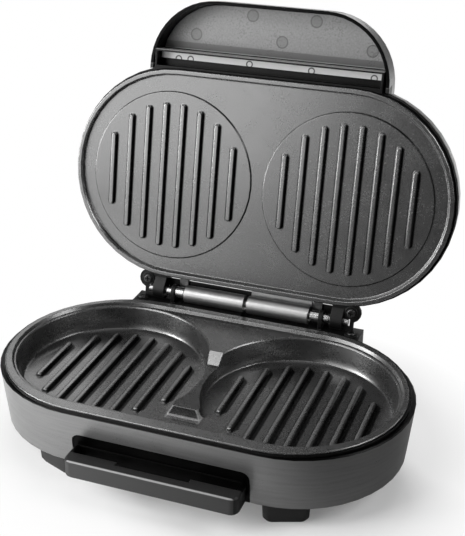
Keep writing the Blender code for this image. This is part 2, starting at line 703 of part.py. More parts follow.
def pans_inside():
    """The hollow of both pans and of the trough, shaped round the web's sloping front end."""
    saddle = DECK - WEB_SADDLE_DROP_FRONT
    rise = PAN_EDGE_ROUND
    narrowing = WEB_FRONT_HALF_WIDTH - WEB_FRONT_TOP_HALF_WIDTH
    loops = []
    for radius, height in (
        (PAN_FLOOR_RADIUS - PAN_FLOOR_FILLET, PAN_FLOOR),
        (PAN_FLOOR_RADIUS - PAN_FLOOR_FILLET / 4, PAN_FLOOR + PAN_FLOOR_FILLET / 4),
        (PAN_FLOOR_RADIUS + PAN_FLOOR_FILLET / 4, PAN_FLOOR + PAN_FLOOR_FILLET),
        (PAN_FLOOR_RADIUS + PAN_FLOOR_FILLET / 2, saddle),
        (PAN_TOP_RADIUS, DECK - rise),
        (PAN_TOP_RADIUS + rise, DECK),
        (PAN_TOP_RADIUS + rise, DECK + CUT_OVERRUN),
    ):
        climb = min((height - PAN_FLOOR) / (saddle - PAN_FLOOR), 1)
        corner = (WEB_FRONT_HALF_WIDTH - narrowing * climb, WEB_FRONT_SLOPE_RUN * climb - WEB_FRONT_REACH)
        end_angle = math.pi + math.asin(WEB_SHOULDER_REACH / radius)
        loops.append(pan_pair_loop(radius, height, end_angle, corner))
    return loft_solid("hollow_tool", loops)


def web_saddle():
    """The cut that lowers the web between the pans to a sloping saddle with a ramp behind."""
    low = DECK - WEB_SADDLE_DROP_FRONT
    high = DECK - WEB_SADDLE_DROP_REAR
    top = DECK + CUT_OVERRUN
    front = WEB_FRONT_REACH
    outline = [(-front, low), (WEB_RAMP_FOOT, high), (WEB_RAMP_TOP, DECK), (WEB_RAMP_TOP, top), (-front, top)]
    return prism_along_x("saddle_tool", outline, -WEB_CUT_HALF_WIDTH, WEB_CUT_HALF_WIDTH)


def rib_loop(width, half_length, centre_x, centre_y, height):
    """Outline of a round-ended rib that runs front to back."""
    radius = width / 2
    loop = []
    for side, start in ((1, 0), (-1, math.pi)):
        for step in range(RIB_END_STEPS + 1):
            angle = start + math.pi * step / RIB_END_STEPS
            x = centre_x + radius * math.cos(angle)
            y = centre_y + side * (half_length - radius) + radius * math.sin(angle)
            loop.append(Vector((x, y, height)))
    return loop


def add_ribs(plate, surface, upward, rib_circle, centre_y):
    """Eight ribs in each of the two round zones, their ends on a circle."""
    for side in (-1, 1):
        for index in range(RIB_COUNT):
            offset = (index - (RIB_COUNT - 1) / 2) * RIB_PITCH
            half_length = math.sqrt(rib_circle ** 2 - offset ** 2)
            x = side * PAN_SPACING / 2 + offset
            levels = [(RIB_WIDTH, -SEAT_GAP), (RIB_SHOULDER_WIDTH, RIB_SHOULDER_HEIGHT), (RIB_CREST_WIDTH, RIB_HEIGHT)]
            loops = []
            for width, rise in levels:
                trim = (RIB_WIDTH - width) / 2
                loops.append(rib_loop(width, half_length - trim, x, centre_y, surface + upward * rise))
            join(plate, loft_solid("rib_tool", loops))


def make_lower_plate():
    """The cast lower plate: two ribbed pans joined at the front, with a low web between them."""
    plate = deck_slab()
    join(plate, pans_outside())
    cut(plate, pans_inside())
    cut(plate, web_saddle())
    add_ribs(plate, PAN_FLOOR, 1, LOWER_RIB_CIRCLE, 0.0)
    return dress(plate, NON_STICK)


def make_upper_plate():
    """The cast press plate: a rim, a flat field and two raised round zones with ribs."""
    profile = [
        (UPPER_FIELD_RADIUS, FIELD),
        (UPPER_LIP_INNER_RADIUS - UPPER_LIP_EDGE, UPPER_LIP + UPPER_LIP_EDGE),
        (UPPER_LIP_INNER_RADIUS, UPPER_LIP),
        (UPPER_LIP_OUTER_RADIUS - UPPER_LIP_EDGE, UPPER_LIP),
        (UPPER_LIP_OUTER_RADIUS, UPPER_LIP + UPPER_LIP_EDGE),
        (UPPER_LIP_OUTER_RADIUS, UPPER_BACK),
    ]
    plate = track_solid("upper_plate", profile)
    for side in (-1, 1):
        zone = [
            (ZONE_RADIUS - ZONE_STEP / 2, FIELD - ZONE_STEP),
            (ZONE_RADIUS, FIELD - ZONE_STEP / 2),
            (ZONE_RADIUS + ZONE_STEP / 4, FIELD + SEAT_GAP),
        ]
        join(plate, turned_solid("zone_tool", zone, side * PAN_SPACING / 2, ZONE_SETBACK, PAN_STEPS))
    add_ribs(plate, FIELD - ZONE_STEP, -1, UPPER_RIB_CIRCLE, ZONE_SETBACK)
    return dress(plate, NON_STICK)


def heater_path(level):
    """Centre line of a heating element: one racetrack loop with both tails to the back."""
    points = []
    reach = HEATER_LOOP_RADIUS
    tail = HEATER_TAIL_HALF_GAP
    bend = HEATER_BEND_RADIUS
    points.append(Vector((-tail, reach + HEATER_TAIL_LENGTH, level)))
    for step in range(HEATER_BEND_STEPS + 1):
        angle = math.pi / 2 * step / HEATER_BEND_STEPS
        x = -tail - bend + bend * math.cos(angle)
        points.append(Vector((x, reach + bend - bend * math.sin(angle), level)))
    for side, start in ((-1, math.pi / 2), (1, -math.pi / 2)):
        for step in range(HEATER_ARC_STEPS + 1):
            angle = start + math.pi * step / HEATER_ARC_STEPS
            x = side * BODY_HALF + reach * math.cos(angle)
            points.append(Vector((x, reach * math.sin(angle), level)))
    for step in range(HEATER_BEND_STEPS + 1):
        angle = math.pi / 2 * (1 - step / HEATER_BEND_STEPS)
        x = tail + bend - bend * math.cos(angle)
        points.append(Vector((x, reach + bend - bend * math.sin(angle), level)))
    points.append(Vector((tail, reach + HEATER_TAIL_LENGTH, level)))
    return points


def sweep_level(name, points, radius, sides):
    """A round tube along a level path."""
    loops = []
    last = len(points) - 1
    for index, point in enumerate(points):
        ahead = points[min(index + 1, last)] - points[max(index - 1, 0)]
        across = Vector((ahead.y, -ahead.x, 0)).normalized()
        loop = []
        for step in range(sides):
            angle = 2 * math.pi * step / sides
            loop.append(point + radius * (math.cos(angle) * across + math.sin(angle) * Vector((0, 0, 1))))
        loops.append(loop)
    return loft_solid(name, loops)


def make_heater(name, level):
    """A sheathed heating element."""
    return dress(sweep_level(name, heater_path(level), HEATER_RADIUS, HEATER_SIDES), SHEET_STEEL)


def make_thermostat(name, mounting_level, upward):
    """A round snap-disc thermostat against the back of a plate."""
    start = mounting_level + upward * SEAT_GAP
    end = start + upward * THERMOSTAT_HEIGHT
    return dress(turned_solid(name, [(THERMOSTAT_RADIUS, start), (THERMOSTAT_RADIUS, end)]), CERAMIC)


def make_thermal_fuse():
    """A sleeved thermal fuse clipped under the lower plate."""
    level = PAN_UNDERSIDE - SEAT_GAP - FUSE_RADIUS
    start = FUSE_PLACE_X
    fuse = rod_along_x("thermal_fuse", FUSE_RADIUS, start, start + FUSE_LENGTH, 0.0, level)
    return dress(fuse, CERAMIC)


def make_terminal_block():
    """The block on the bottom cover where the supply meets the heaters."""
    width, depth, height = TERMINAL_BLOCK_SIZE
    bottom = FLOOR_CLEARANCE + COVER_FLOOR + SEAT_GAP
    back = BASE_BOTTOM_RADIUS - BOTTOM_HEM_WIDTH - COVER_RIM_WIDTH - TERMINAL_BLOCK_REAR_MARGIN
    low = (TERMINAL_BLOCK_PLACE_X - width / 2, back - depth, bottom)
    high = (TERMINAL_BLOCK_PLACE_X + width / 2, back, bottom + height)
    return dress(box("terminal_block", low, high), CERAMIC)


def make_lower_handle():
    """The grip bar at the front, standing off a plate that fills the shell's pocket."""
    top = POCKET_TOP - SEAT_GAP
    bottom = FLOOR_CLEARANCE + SEAT_GAP
    recess = HANDLE_PLATE_RECESS
    thick = HANDLE_PLATE_THICKNESS
    loops = []
    for inset in (recess, recess + thick):
        loop = []
        for x, z in pocket_outline():
            x = x * (POCKET_HALF_WIDTH - SEAT_GAP) / POCKET_HALF_WIDTH
            z = min(max(z, bottom), POCKET_TOP) - (SEAT_GAP if z > bottom else 0)
            loop.append(Vector((x, -(wall_radius(z) - inset), z)))
        loops.append(loop)
    handle = loft_solid("lower_handle", loops)
    bar_bottom = HANDLE_BAR_TOP - HANDLE_BAR_HEIGHT
    root = wall_radius(bar_bottom) - recess - thick / 2
    half_depth = (HANDLE_FRONT_REACH - root) / 2
    centre = Vector((0, -(HANDLE_FRONT_REACH + root) / 2, 0))
    chamfer = HANDLE_CHAMFER
    levels = ((chamfer, bar_bottom), (0.0, bar_bottom + chamfer), (0.0, HANDLE_BAR_TOP - chamfer), (chamfer, HANDLE_BAR_TOP))
    loops = []
    for inset, height in levels:
        outline = rounded_outline(HANDLE_HALF_WIDTH - inset, half_depth - inset, HANDLE_CORNER - inset)
        loops.append([centre + Vector((x, y, height)) for x, y in outline])
    join(handle, loft_solid("bar_tool", loops))
    plate_face = wall_radius(top) - recess + SEAT_GAP
    gap_front = HANDLE_FRONT_REACH - HANDLE_BAR_DEPTH
    gap_half = HANDLE_HALF_WIDTH - HANDLE_END_WALL
    low = bar_bottom - CUT_OVERRUN
    high = HANDLE_BAR_TOP + CUT_OVERRUN
    cut(handle, box("gap_tool", (-gap_half, -gap_front, low), (gap_half, -plate_face, high)))
    notch = gap_front + FINGER_NOTCH_DEPTH
    half = FINGER_NOTCH_HALF_WIDTH
    cut(handle, box("notch_tool", (-half, -notch, low), (half, -plate_face, high)))
    return dress(handle, BLACK_PLASTIC)


def stack_places():
    """Ends along X of each piece on the axle, from the middle outwards, right side."""
    places = {}
    start = BARREL_OUTER_END + HINGE_STACK_GAP * 3
    for name, length in (("bush", BUSH_LENGTH), ("lug", LUG_WIDTH), ("collar", COLLAR_LENGTH)):
        places[name] = (start, start + length)
        start += length + HINGE_STACK_GAP
    return places


def axle_bore(name, start, end):
    """The clearance hole round the axle."""
    return rod_along_x(name, AXLE_RADIUS + SEAT_GAP, start, end, HINGE_Y, HINGE_Z)


def make_hinge_axle():
    """The steel rod that everything at the hinge turns on."""
    rod = rod_along_x("hinge_axle", AXLE_RADIUS, -AXLE_HALF_LENGTH, AXLE_HALF_LENGTH, HINGE_Y, HINGE_Z)
    return dress(rod, BRIGHT_STEEL)


def make_barrel(name, side, on_lid):
    """A rolled barrel with the leaf that carries it: to the base on the left, to the lid on the right."""
    inner = BARREL_MIDDLE_GAP / 2
    start, end = sorted((side * inner, side * BARREL_OUTER_END))
    barrel = rod_along_x(name, BARREL_RADIUS, start, end, HINGE_Y, HINGE_Z, steps=2 * ROUND_STEPS)
    sheet = LEAF_THICKNESS
    if on_lid:
        wall = LID_RADIUS + SEAT_GAP
        level = HINGE_Z + BARREL_RADIUS - sheet
        outline = [(HINGE_Y, level), (HINGE_Y, level + sheet), (wall + sheet, level + sheet),
                   (wall + sheet, level + LEAF_LENGTH), (wall, level + LEAF_LENGTH), (wall, level)]
    else:
        wall = BASE_TOP_RADIUS + SEAT_GAP
        level = HINGE_Z - BARREL_RADIUS + sheet
        outline = [(HINGE_Y, level), (HINGE_Y, level - sheet), (wall + sheet, level - sheet),
                   (wall + sheet, level - LEAF_LENGTH), (wall, level - LEAF_LENGTH), (wall, level)]
    join(barrel, prism_along_x("leaf_tool", outline, start, end))
    cut(barrel, axle_bore("bore_tool", start - CUT_OVERRUN, end + CUT_OVERRUN))
    return dress(barrel, BRIGHT_STEEL)


def make_sleeves(name, place, radius):
    """Two matching sleeves on the axle, left and right."""
    sleeves = []
    for side, side_name in ((-1, "_left"), (1, "_right")):
        start, end = sorted((side * place[0], side * place[1]))
        sleeve = rod_along_x(name + side_name, radius, start, end, HINGE_Y, HINGE_Z)
        cut(sleeve, axle_bore("bore_tool", start - CUT_OVERRUN, end + CUT_OVERRUN))
        sleeves.append(dress(sleeve, BRIGHT_STEEL))
    return sleeves


def body_block():
    """The drafted base and all above it, to trim what is fixed behind it."""
    foot = BASE_BOTTOM_RADIUS + SEAT_GAP - BASE_DRAFT_INSET
    top = BASE_TOP_RADIUS + SEAT_GAP
    levels = [(foot, FLOOR_CLEARANCE - WALL_HEIGHT), (top, SHELL_TOP), (top, LIP_TOP + WALL_HEIGHT)]
    return track_solid("body_tool", levels)


def bracket_side(side):
    """One end of the base bracket: a block, the lug on the axle and the dome with its screw."""
    inner, outer = sorted((side * BRACKET_INNER_END, side * BRACKET_OUTER_END))
    top = bracket_top()
    front = BASE_BOTTOM_RADIUS - BRACKET_DEPTH
    block = box("side_tool", (inner, front, top - BRACKET_HEIGHT), (outer, HINGE_Y + LUG_RADIUS, top))
    start, end = sorted((side * stack_places()["lug"][0], side * stack_places()["lug"][1]))
    half = LUG_RADIUS
    outline = [(HINGE_Y - half, top - half), (HINGE_Y + half, top - half)]
    for step in range(ROUND_STEPS // 2 + 1):
        angle = 2 * math.pi * step / ROUND_STEPS
        outline.append((HINGE_Y + half * math.cos(angle), HINGE_Z + half * math.sin(angle)))
    join(block, prism_along_x("lug_tool", outline, start, end))
    cut(block, axle_bore("bore_tool", start - CUT_OVERRUN, end + CUT_OVERRUN))
    dome_x = side * (BRACKET_OUTER_END - BRACKET_DOME_INSET)
    dome = [(BRACKET_DOME_RADIUS, top - BRACKET_DOME_RISE), (BRACKET_DOME_RADIUS, top + BRACKET_DOME_RISE)]
    join(block, turned_solid("dome_tool", dome, dome_x, BASE_TOP_RADIUS + BRACKET_DOME_BEHIND_EDGE))
    return block


def make_base_bracket():
    """The moulded bracket behind the base: two ends with lugs and a shelf under the barrels."""
    reach = BRACKET_INNER_END + SEAT_GAP
    top = HINGE_Z - BARREL_RADIUS - SHELF_UNDER_BARREL
    front = BASE_TOP_RADIUS + SEAT_GAP + LEAF_THICKNESS + SEAT_GAP
    bracket = box("base_bracket", (-reach, front, top - SHELF_HEIGHT), (reach, HINGE_Y + LUG_RADIUS, top))
    for side in (-1, 1):
        join(bracket, bracket_side(side))
    cut(bracket, body_block())
    return dress(bracket, BLACK_PLASTIC)


def bracket_top():
    """Upper face of the base brackets, under the knuckles of the ears."""
    return HINGE_Z - EAR_KNUCKLE_RADIUS - BRACKET_TOP_DROP


def heel_reach(face):
    """How far the ear's heel runs behind the axle, so that it meets the bracket when the lid is open."""
    upper = face + EAR_FLANGE_THICKNESS - HINGE_Z
    drop = HINGE_Z - bracket_top() - SEAT_GAP
    return (drop + upper * math.cos(OPEN_ANGLE)) / math.sin(OPEN_ANGLE)


def ear_face():
    """Underside of the ears' flanges, in the closed position."""
    return UPPER_LIP + FRAME_SIDE_START - SEAT_GAP - EAR_FLANGE_THICKNESS


def lid_ear(side):
    """One ear: a round-ended flange with a screw boss, a knuckle on the axle and a heel behind it."""
    face = ear_face()
    flange_top = face + EAR_FLANGE_THICKNESS
    knuckle_start, knuckle_end = sorted((side * EAR_INNER_END, side * (EAR_INNER_END + EAR_KNUCKLE_WIDTH)))
    radius = EAR_KNUCKLE_RADIUS
    wall = LID_RADIUS + SEAT_GAP
    outline = [(wall, face)]
    for step in range(ROUND_STEPS // 2 + 3):
        angle = 2 * math.pi * step / ROUND_STEPS - math.pi * KNUCKLE_START_SHARE
        outline.append((HINGE_Y + radius * math.cos(angle), HINGE_Z + radius * math.sin(angle)))
    outline.append((HINGE_Y - radius / 2, face + EAR_HEIGHT))
    outline.append((wall, face + EAR_HEIGHT))
    ear = prism_along_x("ear_tool", outline, knuckle_start, knuckle_end)
    flange_start, flange_end = sorted((side * EAR_INNER_END, side * EAR_BOSS_PLACE_X))
    boss_y = BASE_TOP_RADIUS + EAR_BOSS_BEHIND_EDGE
    low = (flange_start, boss_y - EAR_BOSS_INSET, face)
    high = (flange_end, boss_y + EAR_BOSS_INSET, flange_top)
    join(ear, box("flange_tool", low, high))
    join(ear, turned_solid("end_tool", [(EAR_BOSS_INSET, face), (EAR_BOSS_INSET, flange_top)],
                           side * EAR_BOSS_PLACE_X, boss_y))
    heel_start, heel_end = sorted((side * EAR_INNER_END, side * (EAR_INNER_END + EAR_HEEL_WIDTH)))
    heel = box("heel_tool", (heel_start, boss_y, face), (heel_end, HINGE_Y + heel_reach(face), flange_top))
    join(ear, heel)
    boss = [(EAR_BOSS_RADIUS, face - EAR_BOSS_HEIGHT), (EAR_BOSS_RADIUS, face + EAR_FLANGE_THICKNESS / 2)]
    join(ear, turned_solid("boss_tool", boss, side * EAR_BOSS_PLACE_X, boss_y))
    clear = [(UPPER_LIP_OUTER_RADIUS + SEAT_GAP, UPPER_LIP - WALL_HEIGHT), (UPPER_LIP_OUTER_RADIUS + SEAT_GAP, UPPER_BACK)]
    cut(ear, track_solid("plate_tool", clear))
    bore_start, bore_end = sorted((side * (EAR_INNER_END - CUT_OVERRUN), side * (AXLE_HALF_LENGTH + CUT_OVERRUN)))
    cut(ear, axle_bore("bore_tool", bore_start, bore_end))
    return ear


def make_lid_hinge_bracket():
    """The moulding under the lid's rim: both ears and the web that covers the barrels from behind."""
    level = HINGE_Z + BARREL_RADIUS + EAR_WEB_GAP
    front = LID_RADIUS + SEAT_GAP + LEAF_THICKNESS + SEAT_GAP
    reach = EAR_INNER_END + SEAT_GAP
    low = (-reach, front, level)
    high = (reach, HINGE_Y + EAR_WEB_REACH, level + EAR_WEB_THICKNESS)
    bracket = box("lid_hinge_bracket", low, high)
    for side in (-1, 1):
        join(bracket, lid_ear(side))
    return dress(bracket, BLACK_PLASTIC)


def make_ear_screws():
    """The two screws that hold the ears, heads towards the plate side."""
    face = ear_face() - EAR_BOSS_HEIGHT
    boss_y = BASE_TOP_RADIUS + EAR_BOSS_BEHIND_EDGE
    profile = [
        (EAR_SCREW_RADIUS * SCREW_CROWN_SHARE, face - SEAT_GAP - EAR_SCREW_HEAD),
        (EAR_SCREW_RADIUS, face - SEAT_GAP - EAR_SCREW_HEAD / 2),
        (EAR_SCREW_RADIUS, face - SEAT_GAP),
    ]
    screws = []
    for side, side_name in ((-1, "left"), (1, "right")):
        screw = turned_solid("ear_screw_" + side_name, profile, side * EAR_BOSS_PLACE_X, boss_y)
        screws.append(dress(screw, SHEET_STEEL))
    return screws


def make_bracket_screws():
    """The screws on the domes of the base brackets."""
    top = bracket_top() + BRACKET_DOME_RISE
    place_y = BASE_TOP_RADIUS + BRACKET_DOME_BEHIND_EDGE
    place_x = BRACKET_OUTER_END - BRACKET_DOME_INSET
    profile = [
        (BRACKET_SCREW_RADIUS, top + SEAT_GAP),
        (BRACKET_SCREW_RADIUS, top + SEAT_GAP + BRACKET_SCREW_HEAD / 2),
        (BRACKET_SCREW_RADIUS * SCREW_CROWN_SHARE, top + SEAT_GAP + BRACKET_SCREW_HEAD),
    ]
    screws = []
    for side, side_name in ((-1, "left"), (1, "right")):
        screw = turned_solid("bracket_screw_" + side_name, profile, side * place_x, place_y)
        screws.append(dress(screw, SHEET_STEEL))
    return screws


def visor_outline(inset=0.0, back=0.0):
    """Plan of the visor: a straight front edge with two large round corners."""
    radius = VISOR_RADIUS - inset
    outline = []
    for side, start in ((-1, 180), (1, 270)):
        for step in range(VISOR_CORNER_STEPS + 1):
            angle = math.radians(start + 90 * step / VISOR_CORNER_STEPS)
            x = side * VISOR_STRAIGHT / 2 + radius * math.cos(angle)
            outline.append((x, -VISOR_CENTRE_REACH + radius * math.sin(angle)))
    half = VISOR_STRAIGHT / 2 + radius
    outline.append((half, back))
    outline.append((-half, back))
    return outline


def visor_prism(name, inset, bottom, top, back):
    """An upright prism of the visor's plan whose top falls towards the front."""
    front = VISOR_CENTRE_REACH + VISOR_RADIUS
    lower = []
    upper = []
    for x, y in visor_outline(inset, back):
        share = min(max((-y - VISOR_CENTRE_REACH) / (front - VISOR_CENTRE_REACH), 0), 1)
        lower.append(Vector((x, y, bottom)))
        upper.append(Vector((x, y, top - VISOR_FRONT_DROP * share)))
    return loft_solid(name, [lower, upper])


def make_lid_shell():
    """The lid's outer shell: a rounded cover with the visor that serves as its handle."""
    bottom = LID_SHELL_BOTTOM
    top = LID_TOP
    upper = LID_RADIUS - LID_DRAFT_INSET
    turn = LID_TOP_ROUND
    profile = [
        (LID_RADIUS, bottom),
        (upper, top - turn),
        (upper - turn * TOP_ROUND_SHARE, top - turn / 2),
        (upper - turn / 2, top - turn * TOP_ROUND_SHARE),
        (upper - turn, top),
        (upper - turn - LID_TOP_CROWN_INSET, top + LID_TOP_CROWN),
    ]
    shell = track_solid("lid_shell", profile)
    visor_top = UPPER_LIP + VISOR_TOP_HEIGHT
    visor_back = -VISOR_CENTRE_REACH / 2
    rim = UPPER_LIP + VISOR_RIM_HEIGHT
    visor = visor_prism("visor_tool", 0.0, rim, visor_top, visor_back)
    clear = LID_RADIUS + SEAT_GAP
    cut(visor, track_solid("clear_tool", [(clear, rim - CUT_OVERRUN), (clear, bottom)]))
    join(shell, visor)
    wall = LID_WALL
    hollow = [
        (LID_RADIUS - wall, bottom - CUT_OVERRUN),
        (upper - wall, top - turn),
        (upper - wall - turn * HOLLOW_ROUND_SHARE, top - turn / 2),
        (upper - turn, top - wall),
    ]
    cut(shell, track_solid("hollow_tool", hollow))
    roof = visor_top - VISOR_ROOF
    cut(shell, visor_prism("pocket_tool", VISOR_WALL, rim - CUT_OVERRUN, roof, visor_back))
    post_end = upper_reflector_level() + SEAT_GAP
    for x, y in reflector_post_places():
        post = [(REFLECTOR_POST_RADIUS, post_end), (REFLECTOR_POST_RADIUS, top - LID_WALL / 2)]
        join(shell, turned_solid("post_tool", post, x, y))
    for place_x in (-LENS_SPACING / 2, LENS_SPACING / 2):
        hole = [(LENS_RADIUS + SEAT_GAP, top - turn), (LENS_RADIUS + SEAT_GAP, top + turn)]
        cut(shell, turned_solid("lens_tool", hole, place_x, -LENS_FRONT_PLACE))
    return dress(shell, GUNMETAL)


def make_lens(name, side, finish):
    """A small round lamp lens in the top of the lid."""
    top = LID_TOP
    profile = [
        (LENS_RADIUS, top + LID_TOP_CROWN + LENS_RISE - LENS_LENGTH),
        (LENS_RADIUS, top + LID_TOP_CROWN),
        (LENS_RADIUS * LENS_CROWN_SHARE, top + LID_TOP_CROWN + LENS_RISE),
    ]
    return dress(turned_solid(name, profile, side * LENS_SPACING / 2, -LENS_FRONT_PLACE), finish)


def make_lid_frame():
    """The black frame that holds the press plate, with the deep front block under the visor."""
    bottom = UPPER_LIP + FRAME_SIDE_START
    top = bottom + FRAME_SIDE_HEIGHT
    inner = UPPER_LIP_OUTER_RADIUS + SEAT_GAP
    flange = UPPER_BACK + SEAT_GAP
    profile = [
        (inner, bottom),
        (FRAME_RADIUS, bottom),
        (FRAME_RADIUS, LID_SHELL_BOTTOM - SEAT_GAP),
        (LID_RADIUS - LID_WALL - SEAT_GAP, LID_SHELL_BOTTOM - SEAT_GAP),
        (LID_RADIUS - LID_WALL - SEAT_GAP, top),
        (FRAME_FLANGE_INNER_RADIUS, top),
        (FRAME_FLANGE_INNER_RADIUS, flange),
        (inner, flange),
    ]
    frame = track_ring("lid_frame", profile)
    rim = UPPER_LIP + BLOCK_RIM_OVER_LIP
    back = UPPER_FIELD_RADIUS
    half = BLOCK_HALF_WIDTH
    block = box("block_tool", (-half, -BLOCK_FRONT_REACH, rim), (half, -back, rim + BLOCK_HEIGHT))
    seat = inner + SEAT_GAP
    cut(block, track_solid("plate_tool", [(seat, rim - CUT_OVERRUN), (seat, rim + BLOCK_HEIGHT + CUT_OVERRUN)]))
    wall = BLOCK_WALL
    low = rim - CUT_OVERRUN
    front = BLOCK_FRONT_REACH - wall
    inside = half - wall
    edge = FRAME_RADIUS + SEAT_GAP
    cut(block, box("ledge_tool", (-inside, -front, low), (inside, -edge, rim + BLOCK_LEDGE_HEIGHT)))
    ledge_back = front - BLOCK_LEDGE_DEPTH
    cut(block, box("trough_tool", (-inside, -ledge_back, low), (inside, -edge, rim + BLOCK_TROUGH_HEIGHT)))
    join(frame, block)
    return dress(frame, BLACK_PLASTIC)


def make_handle_liner():
    """The panel inside the visor, stepped deeper next to the front block."""
    inset = VISOR_WALL + LINER_GAP
    face = UPPER_LIP + VISOR_RIM_HEIGHT + LINER_DEPTH_UNDER_RIM
    front = VISOR_CENTRE_REACH + VISOR_RADIUS
    back = BLOCK_FRONT_REACH + SEAT_GAP
    band = back + LINER_BAND
    thick = LINER_THICKNESS
    step = LINER_STEP
    liner = visor_prism("handle_liner", inset, face - front, face + front, 0.0)
    outline = [(-front, face), (-band, face), (-back, face + step), (-back, face + step + thick),
               (-band, face + step + thick), (-front, face + thick)]
    half = VISOR_STRAIGHT / 2 + VISOR_RADIUS
    slab = prism_along_x("slab_tool", outline, -half, half)
    combine(liner, slab, "INTERSECT")
    return dress(liner, GLOSS_PLASTIC)


def make_lid_straps():
    """Two steel straps from the lid's rim over the bushes."""
    start, end = stack_places()["bush"]
    start -= HINGE_STACK_GAP
    sheet = LEAF_THICKNESS
    level = HINGE_Z + BUSH_RADIUS + SEAT_GAP
    wall = LID_RADIUS + SEAT_GAP
    outline = [(HINGE_Y + BUSH_RADIUS, level), (HINGE_Y + BUSH_RADIUS, level + sheet), (wall + sheet, level + sheet),
               (wall + sheet, level + LEAF_LENGTH), (wall, level + LEAF_LENGTH), (wall, level)]
    straps = []
    for side, side_name in ((-1, "left"), (1, "right")):
        low, high = sorted((side * start, side * end))
        strap = prism_along_x("lid_strap_" + side_name, outline, low, high)
        straps.append(dress(strap, SHEET_STEEL))
    return straps


def make_base():
    """Everything that stands still."""
    pieces = [
        make_base_shell(),
        make_bottom_cover(),
        make_seat_ring(),
        make_lower_plate(),
        make_heater("lower_heater", PAN_UNDERSIDE - SEAT_GAP - HEATER_RADIUS),
        make_reflector("lower_reflector", lower_reflector_level(), True),
        make_thermostat("lower_thermostat", PAN_UNDERSIDE, -1),
        make_thermal_fuse(),
        make_terminal_block(),
        make_cord_gland(),
        make_lower_handle(),
        make_hinge_axle(),
        make_barrel("base_hinge_barrel", -1, False),
        make_base_bracket(),
    ]
    pieces += make_sleeves("axle_collar", stack_places()["collar"], COLLAR_RADIUS)
    pieces += make_bracket_screws()
    for name_y, side_y in (("front", -1), ("rear", 1)):
        for name_x, side_x in (("left", -1), ("right", 1)):
            pieces.append(make_foot("foot_" + name_y + "_" + name_x, side_x, side_y))
    return pieces


def make_lid():
    """Everything that swings, modelled in the closed position."""
    pieces = [
        make_lid_shell(),
        make_lid_frame(),
        make_upper_plate(),
        make_heater("upper_heater", upper_heater_level()),
        make_reflector("upper_reflector", upper_reflector_level(), False),
        make_thermostat("upper_thermostat", UPPER_BACK, 1),
        make_handle_liner(),
        make_lens("power_lens", -1, RED_LENS),
        make_lens("ready_lens", 1, GREEN_LENS),
        make_barrel("lid_hinge_barrel", 1, True),
        make_lid_hinge_bracket(),
    ]
    pieces += make_sleeves("hinge_bush", stack_places()["bush"], BUSH_RADIUS)
    return pieces + make_lid_straps() + make_ear_screws()


def make_empty(name, parent, location):
    """A plain axes empty."""
    empty = bpy.data.objects.new(name, None)
    bpy.context.collection.objects.link(empty)
    empty.parent = parent
    empty.location = location
    return empty


def centre_depth(pieces):
    """Middle of the whole object's depth, in world coordinates."""
    bpy.context.view_layer.update()
    depths = [(piece.matrix_world @ vertex.co).y for piece in pieces for vertex in piece.data.vertices]
    return (min(depths) + max(depths)) / 2


def build():
    """Make all pieces, hang the lid open on its hinge and centre the object over the origin."""
    clear_scene()
    origin = make_empty("grill_origin", None, (0, 0, 0))
    pivot_place = Vector((0, HINGE_Y, HINGE_Z))
    pivot = make_empty("lid_pivot", origin, pivot_place)
    base = make_base()
    for piece in base:
        piece.parent = origin
    lid = make_lid()
    for piece in lid:
        piece.parent = pivot
        piece.location = -pivot_place
    pivot.rotation_euler = (-OPEN_ANGLE, 0, 0)
    origin.location.y = -centre_depth(base + lid)
    bpy.context.view_layer.update()


build()
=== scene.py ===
"""Looks of the hamburger maker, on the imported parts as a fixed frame."""
import json
import math
from collections import namedtuple

import bpy
from mathutils import Matrix, Vector


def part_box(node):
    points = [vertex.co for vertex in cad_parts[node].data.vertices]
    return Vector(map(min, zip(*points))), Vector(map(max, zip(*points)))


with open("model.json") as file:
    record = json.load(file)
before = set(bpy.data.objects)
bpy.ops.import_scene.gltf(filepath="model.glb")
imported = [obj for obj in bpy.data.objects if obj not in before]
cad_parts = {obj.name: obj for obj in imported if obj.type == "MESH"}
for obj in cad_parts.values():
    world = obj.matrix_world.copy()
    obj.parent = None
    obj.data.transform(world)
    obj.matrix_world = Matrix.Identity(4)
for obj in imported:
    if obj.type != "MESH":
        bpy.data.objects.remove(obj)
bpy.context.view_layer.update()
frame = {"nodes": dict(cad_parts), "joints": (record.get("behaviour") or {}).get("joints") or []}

NODES = frame["nodes"]

X_AXIS = (1, 0, 0)
Y_AXIS = (0, 1, 0)
Z_AXIS = (0, 0, 1)

# The hinge, and directions of the open lid: up along its plate, and from its plate towards the back
HINGE = frame["joints"][0]
AXLE_HEIGHT = HINGE["pos_m"][2]
OPEN_ANGLE = math.radians(HINGE["range_deg"][1])
LID_UP = (0, -math.cos(OPEN_ANGLE), math.sin(OPEN_ANGLE))
LID_DEPTH = (0, math.sin(OPEN_ANGLE), math.cos(OPEN_ANGLE))

# Camera, solved from the photograph's circles, ribs and outlines
CAMERA_PLACE = (0.2092, -0.5588, 0.3959)
CAMERA_RIGHT = (0.93992, 0.34124, 0.01064)
CAMERA_BACK = (0.30321, -0.84867, 0.43339)
CAMERA_LENS = 84.68
SENSOR_WIDTH = 36.0
CLIP_START = 0.01

